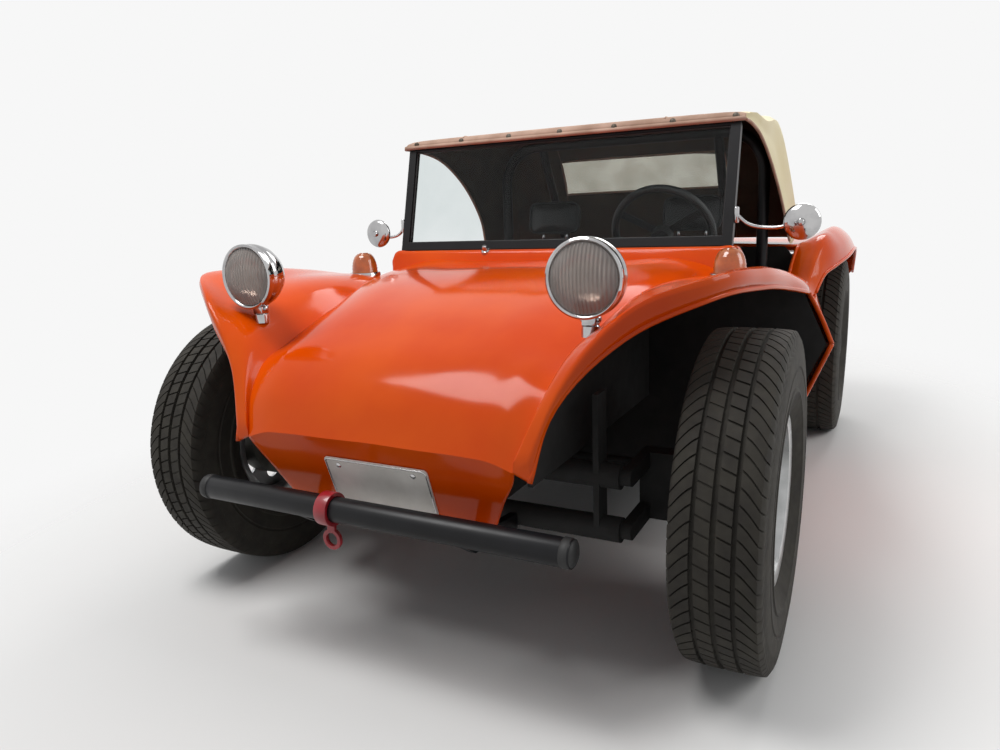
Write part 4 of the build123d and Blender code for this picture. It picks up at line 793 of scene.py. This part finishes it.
for name, side in SIDES:
    spot = front(side * LAMP_X, LAMP_Y, LAMP_Z)
    bowl = bmesh.new()
    spun(bowl, BOWL, spot, (0, -1, 0), 64)
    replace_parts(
        piece(f"lamp_bowl_{name}", bowl, CHROME, crease=45), "headlamps"
    )
    dish = bmesh.new()
    spun(dish, REFLECTOR, spot, (0, -1, 0))
    piece(f"lamp_reflector_{name}", dish, MIRROR_BOWL, crease=45)
    net = []
    for j in range(2 * LENS_ROWS + 1):
        v = j / LENS_ROWS - 1
        row = []
        for k in range(2 * LENS_COLUMNS + 1):
            u = k / LENS_COLUMNS - 1
            # a square laid into the round glass
            x, z = u * (1 - v * v / 2) ** 0.5, v * (1 - u * u / 2) ** 0.5
            f = (x * x + z * z) ** 0.5
            flute = FLUTE_RISE * cos(x * FLUTES) * min(1, (1 - f) / FLUTE_FADE)
            rise = LENS_RISE * (1 - f * f) + flute
            row.append(spot + Vector((LENS_R * x, -rise, LENS_R * z)) / 1000)
        net.append(row)
    glass = bmesh.new()
    skin(glass, net, (0, -1, 0))
    weld(glass)
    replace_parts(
        piece(f"lamp_glass_{name}", glass, LENS, turn=False), "headlamp_lenses"
    )
    fork = bmesh.new()
    foot = front(side * LAMP_X, LAMP_Y + FORK_BACK, FORK_Z)
    spun(fork, FORK, foot, (0, 0, 1), 24)
    block(fork, foot + Vector((-0.016, -0.014, 0.010)), foot + Vector((0.016, 0.014, 0.040)), 3)
    for k in (1, -1):
        bolt = foot + Vector((k * 0.0165, 0, 0.024))
        spun(fork, FORK_BOLT, bolt, (k, 0, 0), 12)
    piece(f"lamp_bracket_{name}", fork, CHROME, crease=40)

# Turn lamps: chrome foot and ribbed amber lens
TURN_X, TURN_Y, TURN_Z, TURN_R, TURN_RISE, TURN_RIBS = 626, 396, 846, 45, 62, 9
TURN_FOOT = ((54, -16), (54, 8), (52, 12), (45, 13))
for name, side in SIDES:
    spot = front(side * TURN_X, TURN_Y, TURN_Z)
    foot = bmesh.new()
    spun(foot, TURN_FOOT, spot, (0, 0, 1))
    piece(f"turn_foot_{name}", foot, CHROME, crease=40)
    profile = [(TURN_R, 12)]
    for k in range(TURN_RIBS):
        a = k / TURN_RIBS * pi / 2
        r, h = TURN_R * cos(a) ** 0.6, 16 + TURN_RISE * sin(a)
        profile += [(r, h), (r - 1.6, h + 2.6)]
    lens = bmesh.new()
    spun(lens, profile + [(0, 79)], spot, (0, 0, 1))
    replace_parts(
        piece(f"turn_lens_{name}", lens, AMBER, crease=50), "turn_lamps"
    )

# Tail lamps: chrome rings at their feet
TAIL_RING = ((45, -1), (45, 8), (48, 10), (52, 7), (53, -2))
TAIL_LAMP_X, TAIL_LAMP_Y, TAIL_LAMP_Z = 742, 2441, 722
rings = bmesh.new()
for _, side in SIDES:
    spun(rings, TAIL_RING, front(side * TAIL_LAMP_X, TAIL_LAMP_Y, TAIL_LAMP_Z), (0, 1, 0))
piece("tail_rings", rings, CHROME, crease=50)

# Round mirrors: domed chrome backs, glass behind, bowed arms and post clamps
MIRROR_BACK = ((0, 14), (14, 13.4), (30, 11), (44, 6), (50, 1), (52, -4), (51, -8), (47, -8))
MIRROR_FACE = ((0, -5), (30, -5.6), (48, -7))
MIRROR_BOSS = ((0, 14), (8, 13), (11, 8), (11, -4))
MIRROR_Y, MIRROR_Z, LEFT_REACH, RIGHT_REACH = 600, 985, 785, 710
POST_X, POST_Y, POST_Z = 601, 618.8, 1010
for (name, side), reach in zip(SIDES, (LEFT_REACH, RIGHT_REACH)):
    hub = front(side * reach, MIRROR_Y, MIRROR_Z)
    dome = bmesh.new()
    spun(dome, MIRROR_BACK, hub, (0, -1, 0))
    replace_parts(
        piece(f"mirror_back_{name}", dome, CHROME, crease=50), "mirrors"
    )
    glass = bmesh.new()
    spun(glass, MIRROR_FACE, hub, (0, -1, 0))
    piece(f"mirror_glass_{name}", glass, CHROME)
    post = front(side * POST_X, POST_Y, POST_Z)
    span = reach - POST_X
    route = [
        post,
        front(side * (POST_X + 0.16 * span), 617, 984),
        front(side * (POST_X + 0.55 * span), 612, 970),
        hub + Vector((0, 0.004, 0)),
    ]
    arm = bmesh.new()
    tube(arm, smooth_line(route, 10), 5.5, 12)
    spun(arm, MIRROR_BOSS, hub + Vector((0, -0.010, 0)), (0, -1, 0), 20)
    block(arm, post + Vector((-0.006, -0.012, -0.024)), post + Vector((0.006, 0.012, 0.024)), 3)
    piece(f"mirror_arm_{name}", arm, CHROME, crease=50)

# Bare plate: rolled rim and two screws, laid on the apron's slope
SLOPE = Vector((0, 60, -183)).normalized()
OUT = Vector((0, -183, -60)).normalized()
PLATE_HALF, PLATE_HIGH, PLATE_ROUND = 131, 52, 10  # half sizes inside the round corners
SCREW = ((0, 4), (4, 3.6), (7, 1.5), (7, -1))
SCREW_X, SCREW_UP = 105, 46
middle = front(0, -448, 545) + (SLOPE * 114 + OUT * 3.3) / 1000
rim = bmesh.new()
outline = []
for sx, sy, start in ((1, 1, 0), (-1, 1, 1), (-1, -1, 2), (1, -1, 3)):
    for k in range(5):
        a = pi / 2 * (start + k / 4)
        x, high = sx * PLATE_HALF + PLATE_ROUND * cos(a), sy * PLATE_HIGH + PLATE_ROUND * sin(a)
        outline.append(middle + (Vector((x, 0, 0)) - SLOPE * high) / 1000)
tube(rim, outline, 2, 8, closed=True)
for x in (-SCREW_X, SCREW_X):
    spot = middle + (Vector((x, 0, 0)) - SLOPE * SCREW_UP) / 1000
    spun(rim, SCREW, spot, OUT, 16)
piece("plate_rim", rim, CHROME, crease=50)

# Bumper end caps, domed rubber
BUMPER_CAP = ((0, 9), (15, 7.5), (26, 3), (31, -5), (31.5, -20), (29, -22))
BUMPER_X, BUMPER_Y, BUMPER_Z = 505, -475, 388
caps = bmesh.new()
for _, side in SIDES:
    spun(caps, BUMPER_CAP, front(side * BUMPER_X, BUMPER_Y, BUMPER_Z), (side, 0, 0))
piece("bumper_caps", caps, SEAL)

# Fan belt round the two pulleys, with pulley faces
BELT_Y, FACE_Y = 2543, 2554.5
GEN_Z, CRANK_Z, GEN_R, CRANK_R = 640, 377, 58, 84
PULLEY_HUB = ((0, 12), (9, 12), (11, 5), (18, 4))
PULLEY_BRIM = ((14, 2), (9, 5), (3, 5), (2, -1))  # in from the radius
BELT_LIFT, BELT_STEPS = 3, 16  # over the pulley, and steps round it
belt = bmesh.new()
lean = (CRANK_R - GEN_R) / (GEN_Z - CRANK_Z)
route = []
WRAPS = (
    # height, radius, first angle, sweep
    (GEN_Z, GEN_R, lean, pi - 2 * lean),
    (CRANK_Z, CRANK_R, pi - lean, pi + 2 * lean),
)
for z, r, start, sweep in WRAPS:
    for k in range(BELT_STEPS + 1):
        a = start + sweep * k / BELT_STEPS
        reach = r + BELT_LIFT
        route.append(front(reach * cos(a), BELT_Y, z + reach * sin(a)))
tube(belt, route, 5, 8, closed=True)
piece("fan_belt", belt, SEAL)
faces = bmesh.new()
for z, r, _, _ in WRAPS:
    brim = tuple((r - x, h) for x, h in PULLEY_BRIM)
    spun(faces, PULLEY_HUB + brim, front(0, FACE_Y, z), (0, 1, 0))
piece("pulley_faces", faces, ALLOY, crease=40)

# Seats: sewn cushions swollen by a short cloth run, then channels and piping
PILLOW_CUTS, PILLOW_PINCH = 11, 0.35
PRESSURE, CLOTH_FRAMES = 4, 20
CHANNEL_WIDTH, CHANNEL_FADE = 0.009, 0.03  # in metres
PIPING_POINTS, PIPING_OUT, PIPING_UP = 64, 0.97, 0.62  # points, and shares of the half axes


def pillow(middle, across, along, thick):
    """A rounded closed block on three half axes, in metres."""
    bm = bmesh.new()
    bmesh.ops.create_cube(bm, size=2.0)
    bmesh.ops.subdivide_edges(bm, edges=bm.edges, cuts=PILLOW_CUTS, use_grid_fill=True)
    for v in bm.verts:
        p = v.co
        reach = max(abs(p.x), abs(p.y), abs(p.z))
        p = p * reach / (abs(p.x) ** 5 + abs(p.y) ** 5 + abs(p.z) ** 5) ** 0.2
        pinch = 1 - PILLOW_PINCH * max(abs(p.x), abs(p.y)) ** 6
        v.co = middle + across * p.x + along * p.y + thick * p.z * pinch
    return bm


def swell(bm, voxel, cap):
    """The block remeshed and blown up by cloth pressure, no point moved further than cap."""
    obj = shaped("swell", bm)
    modify(obj, "REMESH", mode="VOXEL", voxel_size=voxel)
    remeshed = obj.evaluated_get(bpy.context.evaluated_depsgraph_get())
    even = bpy.data.meshes.new_from_object(remeshed)
    obj.modifiers.clear()
    obj.data = even
    starts = [v.co.copy() for v in even.vertices]
    blow = modify(obj, "CLOTH").settings
    blow.use_pressure = True
    blow.uniform_pressure_force = PRESSURE
    blow.effector_weights.gravity = 0
    for step in range(1, CLOTH_FRAMES + 1):
        bpy.context.scene.frame_set(step)
    blown = obj.evaluated_get(bpy.context.evaluated_depsgraph_get()).to_mesh()
    ends = [v.co.copy() for v in blown.vertices]
    obj.modifiers.clear()
    bpy.context.scene.frame_set(1)
    for v, a, b in zip(even.vertices, starts, ends):
        v.co = a + (b - a) * min(1, cap / max((b - a).length, 1e-9))
    result = bmesh.new()
    result.from_mesh(even)
    bpy.data.objects.remove(obj)
    axes = {f"use_axis_{axis}": True for axis in "xyz"}
    bmesh.ops.smooth_vert(result, verts=result.verts, factor=0.5, **axes)
    return result


def channels(bm, middle, across, along, face, lines, half, depth):
    """Sewn channels along a cushion's face, at places across it in metres."""
    bm.normal_update()
    across, along, face = across.normalized(), along.normalized(), face.normalized()
    for v in bm.verts:
        u, w = (v.co - middle).dot(across), (v.co - middle).dot(along)
        towards = max(0, (v.normal.dot(face) - 0.4) / 0.6)
        if towards and abs(w) < half:
            near = min(abs(u - x) for x in lines)
            fade = min(1, (half - abs(w)) / CHANNEL_FADE)
            v.co -= face * depth * towards * fade * exp(-((near / CHANNEL_WIDTH) ** 2))


def piping(middle, across, along, thick):
    """Points of the sewn edge round a cushion's face."""
    points = []
    for k in range(PIPING_POINTS):
        a = 2 * pi * k / PIPING_POINTS
        x = abs(cos(a)) ** 0.35 * (1 if cos(a) > 0 else -1)
        y = abs(sin(a)) ** 0.35 * (1 if sin(a) > 0 else -1)
        points.append(middle + (across * x + along * y) * PIPING_OUT + thick * PIPING_UP)
    return points


SEAT_X = 300
PAD_VOXEL = 0.007
CHANNELS = [x / 1000 for x in range(-132, 133, 44)]
UP = Vector((0, 75, 545)).normalized()  # along the back
FORE = Vector((0, -UP.z, UP.y))
SEAT, SEAT_THICK = Vector((0, 0.190, -0.0143)), Vector((0, 0.0043, 0.058))
PADS = (
    # name, middle, half axes across, along and through, swell, depth of channels
    ("seat_cushion", (1020, 398), 0.194, SEAT, SEAT_THICK, 0.012, 0.009),
    ("seat_back", (1292, 668), 0.194, UP * 0.255, FORE * 0.030, 0.012, 0.009),
    ("head_pad", (1343, 1010), 0.118, UP * 0.068, FORE * 0.024, 0.007, 0),
)
sewn = []
seams = bmesh.new()
for name, (y, z), wide, along, thick, cap, depth in PADS:
    middle, across = front(SEAT_X, y, z), Vector((wide, 0, 0))
    pad = swell(pillow(middle, across, along, thick), PAD_VOXEL, cap)
    if depth:
        channels(pad, middle, across, along, thick, CHANNELS, along.length * 0.78, depth)
    tube(seams, piping(middle, across, along, thick), 4, 8, closed=True)
    sewn.append((name, pad, VINYL, "black_vinyl"))
POST_ENDS = ((1333, 905), (1342, 965))  # y and height of the head pad's posts
posts = bmesh.new()
for x in (SEAT_X - 55, SEAT_X + 55):
    tube(posts, [front(x, y, z) for y, z in POST_ENDS], 6, 12)
sewn += [("seat_piping", seams, VINYL, "black_vinyl"), ("head_posts", posts, CHROME, "chrome_trim")]
for side, shift in (("left", 0), ("right", -2 * SEAT_X)):
    for name, bm, material, slot in sewn:
        copy = bm.copy()
        bmesh.ops.translate(copy, verts=copy.verts, vec=(shift / 1000, 0, 0))
        made = piece(f"{name}_{side}", copy, material)
        if name in [row[0] for row in PADS]:
            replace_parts(made, f"seat_{side}")
for _, bm, _, _ in sewn:
    bm.free()

# Screen bead and wiper spindles
low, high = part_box("screen_glass")
lean = (high.y - low.y - 0.005) / (high.z - low.z)
corners = [(low.x, low.z), (high.x, low.z), (high.x, high.z), (low.x, high.z)]
BEAD_STEPS = 12
bead = bmesh.new()
ring = []
for (x0, z0), (x1, z1) in zip(corners, corners[1:] + corners[:1]):
    for k in range(BEAD_STEPS):
        x, z = x0 + (x1 - x0) * k / BEAD_STEPS, z0 + (z1 - z0) * k / BEAD_STEPS
        ring.append(Vector((x, low.y + 0.001 + (z - low.z) * lean, z)))
tube(bead, ring, 5, 8, closed=True)
piece("screen_bead", bead, SEAL)
KNOB = ((0, 26), (6, 25), (9, 20), (9, 8), (15, 6), (17, 0), (17, -8))
KNOB_X, KNOB_Y, KNOB_Z = (-230, 90), 566, 914
knobs = bmesh.new()
for x in KNOB_X:
    spun(knobs, KNOB, front(x, KNOB_Y, KNOB_Z), (0, -0.5, 0.86), 24)
piece("wiper_spindles", knobs, CHROME, crease=40)

# Dials on the dash: rims, ticks and needles
_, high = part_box("dash_panel")
DIALS = ((300, 795, 46), (190, 790, 28), (410, 790, 28))  # x, height and radius
TICK = Vector((0.0012, 0.0008, 0.0012))
TICKS, TICK_STEP, FIRST_TICK = 11, 26, -130  # number and angles in degrees
TICK_REACH, NEEDLE_REACH = 0.82, 0.75  # shares of the radius
dials, faces = bmesh.new(), bmesh.new()
for x, z, r in DIALS:
    spot = Vector((x / 1000, high.y, (z + RIDE) / 1000))
    spun(dials, ((r + 5, -1), (r + 5, 5), (r + 1, 8), (r - 2, 5)), spot, (0, 1, 0), 40)
    spun(faces, ((r - 1, 2), (0, 2)), spot, (0, 1, 0), 40)
    for k in range(TICKS):
        a = radians(FIRST_TICK + TICK_STEP * k)
        place = spot + Vector((sin(a) * r * TICK_REACH, 3, cos(a) * r * TICK_REACH)) / 1000
        block(dials, place - TICK, place + TICK, 0.3)
    tip = spot + Vector((-0.87 * r * NEEDLE_REACH, 4, 0.5 * r * NEEDLE_REACH)) / 1000
    tube(dials, [spot + Vector((0, 0.004, 0)), tip], [1.6, 0.6], 8)
piece("dial_rims", dials, CHROME, crease=40)
piece("dial_faces", faces, UNDER_BLACK)

# Camera, fitted to the photograph's view
SENSOR, FOCAL_PIXELS, PICTURE_WIDTH = 36.0, 741.3, 1000
CAMERA_SPOT = front(1020, -1718, 1047)
camera = bpy.data.cameras.new("camera")
camera.sensor_width = SENSOR
camera.lens = FOCAL_PIXELS * SENSOR / PICTURE_WIDTH
view = bpy.data.objects.new("camera", camera)
bpy.context.collection.objects.link(view)
bpy.context.scene.camera = view
yaw, pitch, roll = radians(28.0), radians(-12.4), radians(-2.36)
look = Vector((-sin(yaw) * cos(pitch), cos(yaw) * cos(pitch), sin(pitch)))
right = look.cross(Vector((0, 0, 1))).normalized()
upward = right.cross(look)
right, upward = cos(roll) * right + sin(roll) * upward, cos(roll) * upward - sin(roll) * right
aim = Matrix((right, upward, -look)).transposed().to_4x4()
view.matrix_world = Matrix.Translation(CAMERA_SPOT) @ aim

# Pale floor that keeps the shadow and fades into the backdrop
FLOOR_HALF, OVAL = 14, (1.2, 1.9)  # in metres
sheet = bmesh.new()
bmesh.ops.create_grid(sheet, x_segments=1, y_segments=1, size=FLOOR_HALF)
floor = shaped("floor", sheet)
paper = bpy.data.materials.new("pale_floor")
tree = bare_tree(paper)
place = node(tree, "TexCoord").outputs["Object"]
squeeze = (1 / OVAL[0], 1 / OVAL[1], 1)
oval = node(tree, "Mapping", [("Vector", place)], Scale=squeeze).outputs[0]
reach = node(tree, "VectorMath", [("Vector", oval)], operation="LENGTH").outputs["Value"]
edge = {"interpolation_type": "SMOOTHSTEP", "From_Min": 0.8, "From_Max": 2.0}
fade = node(tree, "MapRange", [("Value", reach)], **edge).outputs["Result"]
pale = {"Base_Color": linear("E9E8E6"), "Roughness": 0.95, "Specular_IOR_Level": 0.1}
matt = node(tree, "BsdfPrincipled", **pale)
gone = node(tree, "BsdfTransparent")
blend = node(tree, "MixShader", [("Fac", fade), (1, matt.outputs[0]), (2, gone.outputs[0])])
node(tree, "OutputMaterial", [("Surface", blend.outputs[0])])
floor.data.materials.append(paper)

# Even pale studio, which the camera, metal and glass see as plain white paper
world = bpy.data.worlds.new("studio")
bpy.context.scene.world = world
tree = bare_tree(world)
white = node(tree, "Background", Color=linear("F7F7F7"), Strength=1.0)
sky = node(tree, "Background", Color=linear("F2F4F8"), Strength=0.3)
path = node(tree, "LightPath")
seen = path.outputs["Is Camera Ray"]
for kind in ("Is Glossy Ray", "Is Transmission Ray"):
    either = [(0, seen), (1, path.outputs[kind])]
    seen = node(tree, "Math", either, operation="MAXIMUM").outputs[0]
blend = node(tree, "MixShader", [("Fac", seen), (1, sky.outputs[0]), (2, white.outputs[0])])
node(tree, "OutputWorld", [("Surface", blend.outputs[0])])
LIGHTS = (
    # name, place, target, size, power
    ("key", (-1.4, -2.4, 5.0), (0, -0.6, 0.6), 2.2, 175),
    ("fill", (4.6, 0.4, 3.4), (0, 0.2, 0.8), 2.6, 90),
    ("back", (0.5, 4.6, 5.0), (0, 0.4, 0.8), 3.0, 150),
)
for name, place, target, size, power in LIGHTS:
    light = bpy.data.lights.new(name, "AREA")
    light.size = size
    light.energy = power
    lamp = bpy.data.objects.new(name, light)
    bpy.context.collection.objects.link(lamp)
    lamp.location = place
    lamp.rotation_euler = (Vector(target) - Vector(place)).to_track_quat("-Z", "Y").to_euler()

bpy.context.scene.view_settings.view_transform = "Standard"
